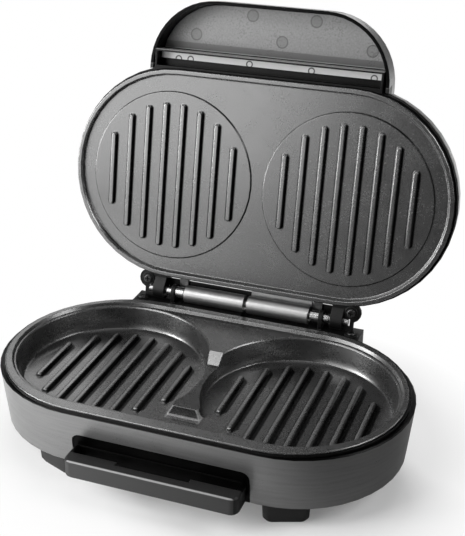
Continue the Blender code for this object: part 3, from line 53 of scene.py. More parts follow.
# Lamps, each aimed at a point over the middle of the floor
Lamp = namedtuple("Lamp", "place energy size aim_height", defaults=((0.5, 0.5), 0.08))
LAMPS = {
    "key_left": Lamp((-1.02, -0.59, 0.3), 10.3),
    "panel_front": Lamp((-0.63, -1.14, 0.39), 2.8, size=(0.75, 0.6), aim_height=0.12),
    "high_front": Lamp((-0.59, -0.70, 0.85), 3.6),
    "high_left": Lamp((-0.8, -0.46, 0.85), 1.7),
    "back_left": Lamp((-0.49, 0.85, 0.75), 1.2),
    "back": Lamp((0.0, 1.04, 0.7), 2.6),
    "back_right": Lamp((1.0, 0.6, 0.3), 1.3),
    "high_spot": Lamp((-0.36, -0.59, 1.03), 0.7, size=(0.2, 0.2)),
    "overhead": Lamp((0.0, 0.0, 1.3), 1.3),
    "right": Lamp((0.9, 0.0, 0.8), 4.4),
}

# Room light: its bright side, its least and most level, and the cosines between which it rises
BRIGHT_SIDE = (-1.0, 0.0, 0.3)
DARK_LEVEL = 0.06
BRIGHT_LEVEL = 0.28
ROOM_TURN = (0.25, 1.0)

# Floor, and its greys where only the object sees it: pale on the left and dark on the right, painted light
# and shade for the object's reflections
FLOOR_HALF_SIZE = 6.0
FLOOR_DROP = 0.0002
FLOOR_GREY = 0.97
FLOOR_ROUGHNESS = 0.6
FLOOR_SPECULAR = 0.2
UNSEEN_LEFT_LIGHT_GREY = 1.0
UNSEEN_RIGHT_SHADE_GREY = 0.14
UNSEEN_LEFT_SIDE = (-0.93, 0.37, 0.0)
UNSEEN_TURN = (-0.16, 0.01)

# Shadow that the floor keeps: a wide oval, and a band round the foot of the object
SHADOW_PLACE = (0.05, -0.05, 0.0)
SHADOW_STRETCH = (1.0, 1.4, 1.0)
SHADOW_FADE = (0.085, 0.135)
SHADOW_SHARE = 0.84
CONTACT_HALF_LENGTH = 0.045
CONTACT_FADE = (0.095, 0.145)
CONTACT_SHARE = 0.5

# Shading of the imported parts
SMOOTH_ANGLE = math.radians(32)
MERGE_DISTANCE = 0.00001
BEVEL_SAMPLES = 6
EDGE_COSINES = (0.995, 0.90)
MASK_SOFTNESS = 0.0002

# Grain, streaks and uneven gloss that the finishes share
GRAIN_DETAIL = 2.0
RELIEF_DISTANCE = 0.0002
STREAK_SCALE = 60.0
STREAK_LIFT = 1.15
CLOUD_SCALE = 70.0
CLOUD_SHARE = 0.5
GLOSS_SPREAD = 0.20

# Grey of black bands, and of painted shade on edges and in shadow lines
BLACK = 0.002

# Finishes of the imported parts, with their streaks as stretches of a noise; the edge grey is a painted
# highlight on edges, painted shade where it is dark
FLAT_LINES = (0.6, 0.6, 9.0)
LONG_LINES = (0.05, 1.0, 1.0)
Finish = namedtuple(
    "Finish",
    "grey roughness metallic specular grain_scale grain_spread relief edge_radius edge_grey ior streaks",
    defaults=(1.5, None),
)
FINISHES = {
    "gunmetal_paint": Finish(0.27, 0.33, 0.85, 0.5, 2200.0, 0.12, 0.025, 0.0005, 0.30, streaks=FLAT_LINES),
    "cover_paint": Finish(0.48, 0.30, 0.85, 0.5, 2200.0, 0.12, 0.03, 0.0005, 0.55, streaks=FLAT_LINES),
    "non_stick": Finish(0.011, 0.28, 0.0, 0.5, 1100.0, 0.50, 0.025, 0.0006, 0.03, ior=2.3),
    "press_plate": Finish(0.012, 0.25, 0.0, 0.5, 900.0, 0.60, 0.03, 0.0006, 0.004, ior=2.6),
    "screw_steel": Finish(0.07, 0.30, 0.9, 0.5, 900.0, 0.15, 0.05, 0.0004, 0.20),
    "black_plastic": Finish(0.004, 0.40, 0.0, 0.25, 1500.0, 0.20, 0.08, 0.0005, 0.03),
    "grip_plastic": Finish(0.018, 0.38, 0.0, 0.20, 1500.0, 0.20, 0.05, 0.0007, 0.03),
    "frame_plastic": Finish(0.002, 0.30, 0.0, 0.20, 1300.0, 0.20, 0.05, 0.0004, 0.01),
    "liner_plastic": Finish(0.26, 0.30, 0.0, 0.45, 900.0, 0.12, 0.05, 0.0005, 0.35),
    "foot_rubber": Finish(0.032, 0.55, 0.0, 0.30, 1300.0, 0.25, 0.12, 0.0006, 0.03),
    "barrel_steel": Finish(0.39, 0.38, 1.0, 0.5, 900.0, 0.10, 0.0, 0.0004, 0.50, streaks=LONG_LINES),
    "bush_chrome": Finish(0.50, 0.24, 1.0, 0.5, 900.0, 0.06, 0.0, 0.0004, 0.60),
    "sheet_steel": Finish(0.14, 0.36, 1.0, 0.5, 900.0, 0.12, 0.0, 0.0004, 0.30),
    "ceramic": Finish(0.60, 0.60, 0.0, 0.5, 500.0, 0.10, 0.10, 0.0005, 0.65),
}

# Finishes of the parts without marks, by the start of their names; the last one is for all others
LOOKS = {
    "plate_seat_ring": "frame_plastic",
    "bottom_cover": "black_plastic",
    "cord_gland": "black_plastic",
    "base_bracket": "black_plastic",
    "lid_hinge_bracket": "black_plastic",
    "foot_": "foot_rubber",
    "hinge_axle": "barrel_steel",
    "lid_hinge_barrel": "barrel_steel",
    "axle_collar": "bush_chrome",
    "hinge_bush": "bush_chrome",
    "lower_thermostat": "ceramic",
    "upper_thermostat": "ceramic",
    "thermal_fuse": "ceramic",
    "terminal_block": "ceramic",
    "": "sheet_steel",
}

# Lamp lenses in the lid's top
LENSES = {"power_lens": (0.40, 0.02, 0.02), "ready_lens": (0.02, 0.30, 0.05)}
LENS_ROUGHNESS = 0.12
LENS_SPECULAR = 0.5
LENS_GRAIN_SCALE = 300.0
LENS_LIFT = 1.3

# Moulded liner in the visor: ejector marks, painted shade in a band along its foot and a painted highlight
# on its lower edge
LINER_MARKS = (
    (-0.0155, 0.1035, 0.2385), (0.0267, 0.1035, 0.2385), (-0.0532, 0.1007, 0.2238),
    (0.0054, 0.1007, 0.2240), (0.0643, 0.1007, 0.2240),
)
LINER_MARK_RADIUS = 0.0036
LINER_MARK_GREY = 0.11
LINER_MARK_SHARE = 0.35
LINER_RING_GREY = 0.12
LINER_BAND_HEIGHT = 0.0052
LINER_BAND_SHADE_GREY = 0.16
LINER_EDGE_HEIGHT = 0.0009
LINER_EDGE_HIGHLIGHT_GREY = 0.45
MARK_LINE = 0.0004

# Lid frame: the glossy ledge, pale with a painted highlight, with its ejector marks, and the cross rib's
# top with a painted highlight, measured up along the lid
LEDGE_MARKS = (
    (-0.0616, 0.0902, 0.2093), (-0.0533, 0.0903, 0.2097), (-0.0129, 0.0905, 0.2104),
    (0.0283, 0.0904, 0.2103), (0.0686, 0.0904, 0.2098),
)
LEDGE_MARK_RADIUS = 0.0019
LEDGE_HEIGHTS = (0.2086, 0.2135)
LEDGE_DEPTHS = (0.0885, 0.0925)
LEDGE_HALF_LENGTH = 0.0735
LEDGE_HIGHLIGHT_GREY = 0.66
LEDGE_RING_GREY = 0.08
CROSS_RIB_TOP = (0.2279, 0.2286)
CROSS_RIB_HIGHLIGHT_GREY = 0.28

# Lid shell: depths, measured through the lid, of the black side band and of the visor's black lower edge,
# dark plastic with painted shade
LID_BAND_DEPTH = 0.0535
VISOR_EDGE_DEPTH = 0.0450
VISOR_EDGE_SOFTNESS = 0.0001
VISOR_CENTRE = (0.0, 0.085, 0.200)
VISOR_FOOT = 0.206
INWARD_LIMIT = -0.0005

# Base shell's top edge, black as painted shade of the gap under the plate's lip, and the barrel's black
# foot, which starts this far under the axle
SHELL_RIM_SHADE = 0.0009
BARREL_FOOT_DROP = 0.0045
BARREL_FOOT_GREY = 0.02

# Lower handle, measured from its front: face, paler with painted light, painted highlight on the top edge
# of the face, and bar in front of the pocket, which is painted black as shade
HANDLE_FACE_DEPTH = 0.0009
HANDLE_FACE_LIGHT_GREY = 0.060
HANDLE_EDGE_DEPTH = 0.0011
HANDLE_EDGE_HEIGHTS = (0.0276, 0.0283)
HANDLE_HIGHLIGHT_GREY = 0.34
HANDLE_BAR_DEPTH = 0.0091
POCKET_SHADE_GREY = 0.0015
POCKET_SHADE_METALLIC = 0.75

# Lower plate: the outline of the web's front face, measured from the pan floor, with painted highlight
# lines, and a speckled painted sheen on the lip
PAN_FLOOR_THICKNESS = 0.0028
WEB_FACE_HEIGHT = 0.0055
WEB_FACE_DEPTHS = (-0.0600, -0.0525)
WEB_SIDE_SLOPE = 0.51
WEB_SIDE_LINE = (0.0097, 0.0112)
WEB_BOTTOM_LINE = (0.0001, 0.0011)
WEB_HIGHLIGHT_GREY = 0.32
LIP_BAND = 0.0007
LIP_SHEEN_GREY = 0.05
SHEEN_SPECKLE_SCALE = 420.0
SHEEN_SPECKLE_SHARES = (0.35, 1.0)

# Lid plate: the raised zones with a ring of painted shade round each, and painted highlights on the edges
# of the rim
ZONE_SETBACK = 0.0010
ZONE_SHADE_RING = (0.0557, 0.0564)
ZONE_SHADE_SHARE = 0.75
RIM_START = 0.058
RIM_SOFTNESS = 0.0005
RIM_HIGHLIGHT_GREY = 0.16

# Ribs: half the spacing of the pans, pitch, end circles, and lines measured sideways from a rib's middle:
# a painted highlight on the crest, painted shadow on one side and a thin line of painted shade at the foot
PAN_REACH = 0.0600
RIB_PITCH = 0.0121
RIB_END_ROUND = 0.0028
RIB_END_SOFTNESS = 0.0005
LOWER_RIB_CIRCLE = 0.0479
UPPER_RIB_CIRCLE = 0.0492
RIB_CREST = (-0.0013, 0.0003)
LOWER_CREST_HIGHLIGHT = 0.09
UPPER_CREST_HIGHLIGHT = 0.05
LOWER_RIB_SHADE = (0.0013, 0.0048)
UPPER_RIB_SHADE = (0.0012, 0.0030)
RIB_SHADE_SOFTNESS = 0.0004
RIB_SHADE_SHARE = 0.92
RIB_FOOT_SHADE_LINE = (-0.0027, -0.0022)

# Cross drives of the screws, drawn dark as painted shade in the recess
CROSS_LENGTH = 0.0017
CROSS_WIDTH = 0.00035
CROSS_SHADE_GREY = 0.001


def middle(name):
    """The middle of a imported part's box."""
    low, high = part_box(name)
    return (Vector(low) + Vector(high)) / 2


def grey(level):
    """A neutral colour."""
    return (level, level, level, 1)


def link(tree, source, target):
    """Join two sockets."""
    tree.links.new(source, target)


def feed(tree, socket, value):
    """Give a socket another socket's value or a fixed one."""
    if isinstance(value, bpy.types.NodeSocket):
        link(tree, value, socket)
    else:
        socket.default_value = value


def calculate(tree, operation, *values):
    """A Math node of sockets and numbers."""
    node = tree.nodes.new("ShaderNodeMath")
    node.operation = operation
    for socket, value in zip(node.inputs, values):
        feed(tree, socket, value)
    return node.outputs["Value"]


def vector_node(tree, operation, *values):
    """A Vector Math node of sockets and fixed vectors."""
    node = tree.nodes.new("ShaderNodeVectorMath")
    node.operation = operation
    for socket, value in zip(node.inputs, values):
        feed(tree, socket, value)
    return node


def vector(tree, operation, *values):
    """The vector that a Vector Math node works out."""
    return vector_node(tree, operation, *values).outputs["Vector"]


def measure(tree, operation, *values):
    """The number that a Vector Math node works out."""
    return vector_node(tree, operation, *values).outputs["Value"]


def product(tree, first, *others):
    """Several masks multiplied."""
    result = first
    for other in others:
        result = calculate(tree, "MULTIPLY", result, other)
    return result


def opposite(tree, mask):
    """A mask turned round."""
    return calculate(tree, "SUBTRACT", 1.0, mask)


def spread(tree, value, low, high, first=0.3, last=0.7):
    """Map a value to a range, by default from the range in which most of a noise lies."""
    node = tree.nodes.new("ShaderNodeMapRange")
    node.inputs["From Min"].default_value = first
    node.inputs["From Max"].default_value = last
    node.inputs["To Min"].default_value = low
    node.inputs["To Max"].default_value = high
    link(tree, value, node.inputs["Value"])
    return node.outputs["Result"]


def above(tree, value, limit, soft=MASK_SOFTNESS):
    """A soft mask that is 1 where a value is over a limit."""
    return spread(tree, value, 0.0, 1.0, limit - soft, limit + soft)


def below(tree, value, limit, soft=MASK_SOFTNESS):
    """A soft mask that is 1 where a value is under a limit."""
    return spread(tree, value, 1.0, 0.0, limit - soft, limit + soft)


def inside(tree, value, low, high, soft=MASK_SOFTNESS):
    """A soft mask that is 1 where a value lies between two limits."""
    return product(tree, above(tree, value, low, soft), below(tree, value, high, soft))


def mix_colours(tree, share, first, second):
    """Mix two colours, each a socket or a fixed colour."""
    node = tree.nodes.new("ShaderNodeMix")
    node.data_type = "RGBA"
    link(tree, share, node.inputs["Factor"])
    feed(tree, node.inputs["A"], first)
    feed(tree, node.inputs["B"], second)
    return node.outputs["Result"]


def place_of(tree):
    """Coordinates on the piece, which are those of the rest pose."""
    return tree.nodes.new("ShaderNodeTexCoord").outputs["Object"]


def along(tree, direction, origin=(0, 0, 0)):
    """Distance from a place along a direction."""
    return measure(tree, "DOT_PRODUCT", vector(tree, "SUBTRACT", place_of(tree), origin), direction)


def nearest(tree, places):
    """Distance to the nearest of some places."""
    best = measure(tree, "DISTANCE", place_of(tree), places[0])
    for place in places[1:]:
        best = calculate(tree, "MINIMUM", best, measure(tree, "DISTANCE", place_of(tree), place))
    return best


def noise(tree, scale, stretch=(1, 1, 1), detail=3.0):
    """Noise in the piece's own coordinates."""
    mapping = tree.nodes.new("ShaderNodeMapping")
    mapping.inputs["Scale"].default_value = stretch
    texture = tree.nodes.new("ShaderNodeTexNoise")
    texture.inputs["Scale"].default_value = scale
    texture.inputs["Detail"].default_value = detail
    link(tree, place_of(tree), mapping.inputs["Vector"])
    link(tree, mapping.outputs["Vector"], texture.inputs["Vector"])
    return texture.outputs["Fac"]


def rounded_normal(tree, radius):
    """The surface's normal with its edges softly rounded."""
    bevel = tree.nodes.new("ShaderNodeBevel")
    bevel.samples = BEVEL_SAMPLES
    bevel.inputs["Radius"].default_value = radius
    return bevel.outputs["Normal"]


def edge_mask(tree, rounded):
    """A mask that is 1 on the edges, where the rounded normal leaves the true one."""
    true_normal = tree.nodes.new("ShaderNodeNewGeometry").outputs["Normal"]
    return spread(tree, measure(tree, "DOT_PRODUCT", rounded, true_normal), 0.0, 1.0, *EDGE_COSINES)


def new_material(name, colour, roughness, metallic, specular):
    """A Principled material, its tree and its shader."""
    material = bpy.data.materials.new(name)
    material.use_nodes = True
    tree = material.node_tree
    shader = tree.nodes["Principled BSDF"]
    shader.inputs["Base Color"].default_value = colour
    shader.inputs["Roughness"].default_value = roughness
    shader.inputs["Metallic"].default_value = metallic
    shader.inputs["Specular IOR Level"].default_value = specular
    return material, tree, shader


def shade(tree, shader, mask, level):
    """Lay a grey over the base colour where a mask is 1."""
    socket = shader.inputs["Base Color"]
    before = socket.links[0].from_socket
    link(tree, mix_colours(tree, mask, before, grey(level)), socket)


def make_finish(look, name):
    """A finish with grain, streaks, uneven gloss and edges in a painted highlight (painted shade where
    dark), its tree and its shader.
    """
    finish = FINISHES[look]
    level = finish.grey
    roughness = finish.roughness
    material, tree, shader = new_material(name, grey(level), roughness, finish.metallic, finish.specular)
    shader.inputs["IOR"].default_value = finish.ior

    grain = noise(tree, finish.grain_scale, detail=GRAIN_DETAIL)
    darker = grey(level * (1 - finish.grain_spread))
    paler = grey(level * (1 + finish.grain_spread))
    colour = mix_colours(tree, spread(tree, grain, 0.0, 1.0), darker, paler)
    if finish.streaks:
        lines = spread(tree, noise(tree, STREAK_SCALE, finish.streaks), 0.0, 1.0)
        colour = mix_colours(tree, lines, colour, grey(level * STREAK_LIFT))
    normal = rounded_normal(tree, finish.edge_radius)
    # Painted highlight on the edges; a dark edge grey paints shade there instead
    colour = mix_colours(tree, edge_mask(tree, normal), colour, grey(finish.edge_grey))
    link(tree, colour, shader.inputs["Base Color"])

    cloud = calculate(tree, "MULTIPLY", noise(tree, CLOUD_SCALE), CLOUD_SHARE)
    cloud = calculate(tree, "ADD", cloud, calculate(tree, "MULTIPLY", grain, 1 - CLOUD_SHARE))
    gloss = spread(tree, cloud, roughness * (1 - GLOSS_SPREAD), roughness * (1 + GLOSS_SPREAD))
    link(tree, gloss, shader.inputs["Roughness"])

    bump = tree.nodes.new("ShaderNodeBump")
    bump.inputs["Strength"].default_value = finish.relief
    bump.inputs["Distance"].default_value = RELIEF_DISTANCE
    link(tree, grain, bump.inputs["Height"])
    link(tree, normal, bump.inputs["Normal"])
    link(tree, bump.outputs["Normal"], shader.inputs["Normal"])
    return material, tree, shader


def make_liner():
    """The grey moulded liner with its ejector marks, painted shade along its foot and a painted highlight
    on its lower edge.
    """
    material, tree, shader = make_finish("liner_plastic", "liner_marked")
    far = nearest(tree, LINER_MARKS)
    disc = calculate(tree, "MULTIPLY", below(tree, far, LINER_MARK_RADIUS), LINER_MARK_SHARE)
    shade(tree, shader, disc, LINER_MARK_GREY)
    ring = inside(tree, far, LINER_MARK_RADIUS - MARK_LINE, LINER_MARK_RADIUS + MARK_LINE)
    shade(tree, shader, ring, LINER_RING_GREY)
    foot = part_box("handle_liner")[0][2]
    # Painted shade along the liner's foot, then a painted highlight on its lowest edge
    shade(tree, shader, below(tree, along(tree, Z_AXIS), foot + LINER_BAND_HEIGHT), LINER_BAND_SHADE_GREY)
    shade(tree, shader, below(tree, along(tree, Z_AXIS), foot + LINER_EDGE_HEIGHT), LINER_EDGE_HIGHLIGHT_GREY)
    return material


def make_lid_frame():
    """The black lid frame with a painted highlight on its glossy ledge and on its cross rib's top, and the
    marks on the ledge.
    """
    material, tree, shader = make_finish("frame_plastic", "lid_frame_ledge")
    # Painted highlight on the cross rib's top face
    shade(tree, shader, inside(tree, along(tree, LID_UP), *CROSS_RIB_TOP), CROSS_RIB_HIGHLIGHT_GREY)
    ledge = product(
        tree,
        inside(tree, along(tree, Z_AXIS), *LEDGE_HEIGHTS),
        inside(tree, along(tree, Y_AXIS), *LEDGE_DEPTHS),
        inside(tree, along(tree, X_AXIS), -LEDGE_HALF_LENGTH, LEDGE_HALF_LENGTH),
    )
    # Painted highlight on the ledge
    shade(tree, shader, ledge, LEDGE_HIGHLIGHT_GREY)
    far = nearest(tree, LEDGE_MARKS)
    ring = inside(tree, far, LEDGE_MARK_RADIUS - MARK_LINE, LEDGE_MARK_RADIUS + MARK_LINE)
    shade(tree, shader, product(tree, ring, ledge), LEDGE_RING_GREY)
    return material


def make_lid_shell():
    """The lid's painted cover, with a black side band, and black inside the visor: dark plastic with
    painted shade.
    """
    material, tree, shader = make_finish("cover_paint", "lid_cover_paint")
    depth = along(tree, LID_DEPTH)
    under_visor = below(tree, along(tree, Z_AXIS), VISOR_FOOT)
    band = product(tree, below(tree, depth, LID_BAND_DEPTH), under_visor)

    # The visor's inner wall is where its surface faces the visor's middle
    outward = vector(tree, "SUBTRACT", place_of(tree), VISOR_CENTRE)
    normal = tree.nodes.new("ShaderNodeTexCoord").outputs["Normal"]
    inner = calculate(tree, "LESS_THAN", measure(tree, "DOT_PRODUCT", outward, normal), INWARD_LIMIT)
    # The visor's inner wall and lower edge: dark plastic, drawn black with painted shade
    edge = below(tree, depth, VISOR_EDGE_DEPTH, VISOR_EDGE_SOFTNESS)
    visor_black_and_shade = product(tree, calculate(tree, "MAXIMUM", inner, edge), opposite(tree, under_visor))

    shade(tree, shader, calculate(tree, "MAXIMUM", band, visor_black_and_shade), BLACK)
    metal = calculate(tree, "MULTIPLY", opposite(tree, band), FINISHES["cover_paint"].metallic)
    link(tree, metal, shader.inputs["Metallic"])
    return material


def make_base_shell():
    """The base's painted wall, with painted shade in black along its top edge, where the gap under the
    plate's lip lies.
    """
    material, tree, shader = make_finish("gunmetal_paint", "base_wall_paint")
    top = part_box("base_shell")[1][2]
    # Painted shade: the top edge is drawn black for the shadowed gap under the plate's lip
    shade(tree, shader, above(tree, along(tree, Z_AXIS), top - SHELL_RIM_SHADE), BLACK)
    return material


def make_barrel():
    """The base's hinge barrel, darker at its foot, below a height under the axle."""
    material, tree, shader = make_finish("barrel_steel", "barrel_blackened")
    foot = below(tree, along(tree, Z_AXIS), AXLE_HEIGHT - BARREL_FOOT_DROP)
    shade(tree, shader, foot, BARREL_FOOT_GREY)
    return material


def make_handle():
    """The handle: painted light on its front face with a painted highlight on its top edge, and painted
    shade in black in the pocket behind the bar.
    """
    material, tree, shader = make_finish("grip_plastic", "handle_bar")
    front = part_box("lower_handle")[0][1]
    depth = along(tree, Y_AXIS)
    # Painted light: the front face is paler where it faces the bright floor
    shade(tree, shader, below(tree, depth, front + HANDLE_FACE_DEPTH), HANDLE_FACE_LIGHT_GREY)
    # Painted shade: the pocket behind the bar is drawn black
    pocket_shade = above(tree, depth, front + HANDLE_BAR_DEPTH)
    shade(tree, shader, pocket_shade, POCKET_SHADE_GREY)
    link(tree, calculate(tree, "MULTIPLY", pocket_shade, POCKET_SHADE_METALLIC), shader.inputs["Metallic"])
    # Painted highlight along the face's top edge
    edge = product(
        tree,
        below(tree, depth, front + HANDLE_EDGE_DEPTH),
        inside(tree, along(tree, Z_AXIS), *HANDLE_EDGE_HEIGHTS),
    )
    shade(tree, shader, edge, HANDLE_HIGHLIGHT_GREY)
    return material


def draw_ribs(tree, shader, lengthwise, circle, shadow_side, crest_highlight_grey):
    """A painted highlight on the crest, painted shadow on one side and a thin painted shade line at the
    foot of every rib.
    """
    across = along(tree, X_AXIS)
    from_pan = calculate(tree, "SUBTRACT", calculate(tree, "ABSOLUTE", across), PAN_REACH)
    half = RIB_PITCH / 2
    from_rib = calculate(tree, "WRAP", calculate(tree, "ADD", from_pan, half), half, -half)
    rib_place = calculate(tree, "SUBTRACT", from_pan, from_rib)

    # A rib ends on a circle round its pan, with a rounded end
    rounding = calculate(tree, "DIVIDE", product(tree, from_rib, from_rib), 2 * RIB_END_ROUND)
    end = calculate(tree, "ADD", calculate(tree, "ABSOLUTE", lengthwise), rounding)
    squares = calculate(tree, "ADD", product(tree, rib_place, rib_place), product(tree, end, end))
    within = below(tree, calculate(tree, "SQRT", squares), circle, RIB_END_SOFTNESS)

    sideways = product(tree, from_rib, calculate(tree, "SIGN", across))
    shade(tree, shader, product(tree, inside(tree, sideways, *RIB_CREST), within), crest_highlight_grey)
    foot = product(tree, inside(tree, sideways, *RIB_FOOT_SHADE_LINE), within)
    # Painted shadow beside each rib, drawn black by turning the surface metallic
    rib_shadow = product(tree, inside(tree, sideways, *shadow_side, RIB_SHADE_SOFTNESS), within)
    rib_shadow = calculate(tree, "MULTIPLY", calculate(tree, "MAXIMUM", rib_shadow, foot), RIB_SHADE_SHARE)
    shade(tree, shader, rib_shadow, BLACK)
    link(tree, rib_shadow, shader.inputs["Metallic"])


def web_outline(tree):
    """The bottom and the leaning sides of the web's front face."""
    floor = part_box("lower_plate")[0][2] + PAN_FLOOR_THICKNESS
    rise = calculate(tree, "SUBTRACT", along(tree, Z_AXIS), floor)
    across = calculate(tree, "ABSOLUTE", along(tree, X_AXIS))
    lean = calculate(tree, "MULTIPLY", rise, WEB_SIDE_SLOPE)
    sides = product(
        tree,
        inside(tree, calculate(tree, "ADD", across, lean), *WEB_SIDE_LINE),
        inside(tree, rise, 0.0, WEB_FACE_HEIGHT),
    )
    bottom = product(tree, inside(tree, rise, *WEB_BOTTOM_LINE), below(tree, across, WEB_SIDE_LINE[1]))
    face = inside(tree, along(tree, Y_AXIS), *WEB_FACE_DEPTHS)
    return product(tree, calculate(tree, "MAXIMUM", sides, bottom), face)


def make_lower_plate():
    """The lower plate, with a painted highlight round its web's front, a speckled painted sheen on the lip
    and its ribs.
    """
    material, tree, shader = make_finish("non_stick", "non_stick_web")
    # Painted highlight lines on the edges of the web's front face
    shade(tree, shader, web_outline(tree), WEB_HIGHLIGHT_GREY)
    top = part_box("lower_plate")[1][2]
    # Painted sheen on the lip's top, broken up by a noise
    sheen_speckle = spread(tree, noise(tree, SHEEN_SPECKLE_SCALE), *SHEEN_SPECKLE_SHARES)
    shade(tree, shader, product(tree, above(tree, along(tree, Z_AXIS), top - LIP_BAND), sheen_speckle), LIP_SHEEN_GREY)
    lengthwise = along(tree, Y_AXIS, middle("base_shell"))
    draw_ribs(tree, shader, lengthwise, LOWER_RIB_CIRCLE, LOWER_RIB_SHADE, LOWER_CREST_HIGHLIGHT)
    return material


def make_press_plate():
    """The lid's plate, with painted highlights on its rim's edges, its ribs and a ring of painted shade
    round each zone.
    """
    material, tree, shader = make_finish("press_plate", "press_plate_rim")
    centre = middle("upper_plate") - ZONE_SETBACK * Vector(LID_UP)
    far = nearest(tree, [centre + side * PAN_REACH * Vector(X_AXIS) for side in (-1, 1)])
    edges = edge_mask(tree, rounded_normal(tree, FINISHES["press_plate"].edge_radius))
    # Painted highlight on the rim's edges
    shade(tree, shader, product(tree, edges, above(tree, far, RIM_START, RIM_SOFTNESS)), RIM_HIGHLIGHT_GREY)
    lengthwise = along(tree, LID_UP, centre)
    draw_ribs(tree, shader, lengthwise, UPPER_RIB_CIRCLE, UPPER_RIB_SHADE, UPPER_CREST_HIGHLIGHT)
    # Painted shade in a ring along each zone's step
    ring = calculate(tree, "MULTIPLY", inside(tree, far, *ZONE_SHADE_RING), ZONE_SHADE_SHARE)
    shade(tree, shader, ring, BLACK)
    ribs = shader.inputs["Metallic"].links[0].from_socket
    link(tree, calculate(tree, "MAXIMUM", ribs, ring), shader.inputs["Metallic"])
    return material


def make_screw(name, up):
    """A dark screw head with painted shade in its cross drive."""
    material, tree, shader = make_finish("screw_steel", name)
    centre = middle(name)
    across = calculate(tree, "ABSOLUTE", along(tree, X_AXIS, centre))
    upward = calculate(tree, "ABSOLUTE", along(tree, up, centre))
    cross = product(
        tree,
        below(tree, calculate(tree, "MAXIMUM", across, upward), CROSS_LENGTH),
        below(tree, calculate(tree, "MINIMUM", across, upward), CROSS_WIDTH),
    )
    # Painted shade in the cross drive
    shade(tree, shader, cross, CROSS_SHADE_GREY)
    return material


def make_lens(name, colour):
    """Tinted plastic with a fine, paler grain."""
    paler = [min(1, part * LENS_LIFT) for part in colour]
    material, tree, shader = new_material(name, (*colour, 1), LENS_ROUGHNESS, 0.0, LENS_SPECULAR)
    share = spread(tree, noise(tree, LENS_GRAIN_SCALE), 0.0, 1.0)
    link(tree, mix_colours(tree, share, (*colour, 1), (*paler, 1)), shader.inputs["Base Color"])
    return material


def marked_materials():
    """Materials of the parts that have marks, bands or a tint of their own."""
    materials = {
        "handle_liner": make_liner(),
        "lid_frame": make_lid_frame(),
        "lid_shell": make_lid_shell(),
        "base_shell": make_base_shell(),
        "base_hinge_barrel": make_barrel(),
        "lower_handle": make_handle(),
        "lower_plate": make_lower_plate(),
        "upper_plate": make_press_plate(),
    }
    for side in ("left", "right"):
        for start, up in (("ear_screw_", LID_UP), ("bracket_screw_", Y_AXIS)):
            materials[start + side] = make_screw(start + side, up)
    for name, colour in LENSES.items():
        materials[name] = make_lens(name, colour)
    return materials


def look_of(name):
    """Which finish a part without marks gets."""
    return next(look for start, look in LOOKS.items() if name.startswith(start))


def smooth_group():
    """A node group that welds the faceted solids and shades their round faces smooth."""
    group = bpy.data.node_groups.new("smooth_round_faces", "GeometryNodeTree")
    for direction in ("INPUT", "OUTPUT"):
        group.interface.new_socket(name="Geometry", in_out=direction, socket_type="NodeSocketGeometry")
    start = group.nodes.new("NodeGroupInput")
    merge = group.nodes.new("GeometryNodeMergeByDistance")
    merge.inputs["Distance"].default_value = MERGE_DISTANCE
    faces = group.nodes.new("GeometryNodeSetShadeSmooth")
    edges = group.nodes.new("GeometryNodeSetShadeSmooth")
    edges.domain = "EDGE"
    end = group.nodes.new("NodeGroupOutput")
    steps = (start, merge, faces, edges, end)
    for before, after in zip(steps, steps[1:]):
        link(group, before.outputs["Geometry"], after.inputs["Geometry"])

    angle = group.nodes.new("GeometryNodeInputMeshEdgeAngle")
    compare = group.nodes.new("FunctionNodeCompare")
    compare.operation = "LESS_EQUAL"
    compare.inputs["B"].default_value = SMOOTH_ANGLE
    link(group, angle.outputs["Unsigned Angle"], compare.inputs["A"])
    link(group, compare.outputs["Result"], edges.inputs["Shade Smooth"])
    return group


def dress_nodes():
    """Give every CAD node its material and smooth shading."""
    group = smooth_group()
    marked = marked_materials()
    plain = {look: make_finish(look, look)[0] for look in sorted(set(LOOKS.values()))}
    for name, node in NODES.items():
        node.data.materials.clear()
        node.data.materials.append(marked.get(name) or plain[look_of(name)])
        modifier = node.modifiers.new("smooth", "NODES")
        modifier.node_group = group


def add_lamps():
    """Soft studio light, mostly from the left and above."""
    for name, plan in LAMPS.items():
        data = bpy.data.lights.new(name, "AREA")
        data.energy = plan.energy
        data.shape = "RECTANGLE"
        data.size, data.size_y = plan.size
        lamp = bpy.data.objects.new(name, data)
        lamp.location = plan.place
        view = Vector((0, 0, plan.aim_height)) - Vector(plan.place)
        lamp.rotation_euler = view.to_track_quat("-Z", "Y").to_euler()
        bpy.context.collection.objects.link(lamp)


def make_world():
    """White to the camera; to the object a room that is bright on the left and dim on the right."""
    world = bpy.data.worlds.new("studio")
    bpy.context.scene.world = world
    world.use_nodes = True
    tree = world.node_tree
    room = tree.nodes["Background"]
    room.inputs["Color"].default_value = grey(1)
    direction = tree.nodes.new("ShaderNodeTexCoord").outputs["Generated"]
    turn = measure(tree, "DOT_PRODUCT", direction, Vector(BRIGHT_SIDE).normalized())
    link(tree, spread(tree, turn, DARK_LEVEL, BRIGHT_LEVEL, *ROOM_TURN), room.inputs["Strength"])
    white = tree.nodes.new("ShaderNodeBackground")
    white.inputs["Color"].default_value = grey(1)
    white.inputs["Strength"].default_value = 1.0
    path = tree.nodes.new("ShaderNodeLightPath")
    mix = tree.nodes.new("ShaderNodeMixShader")
    link(tree, path.outputs["Is Camera Ray"], mix.inputs["Fac"])
    link(tree, room.outputs["Background"], mix.inputs[1])
    link(tree, white.outputs["Background"], mix.inputs[2])
    link(tree, mix.outputs["Shader"], tree.nodes["World Output"].inputs["Surface"])


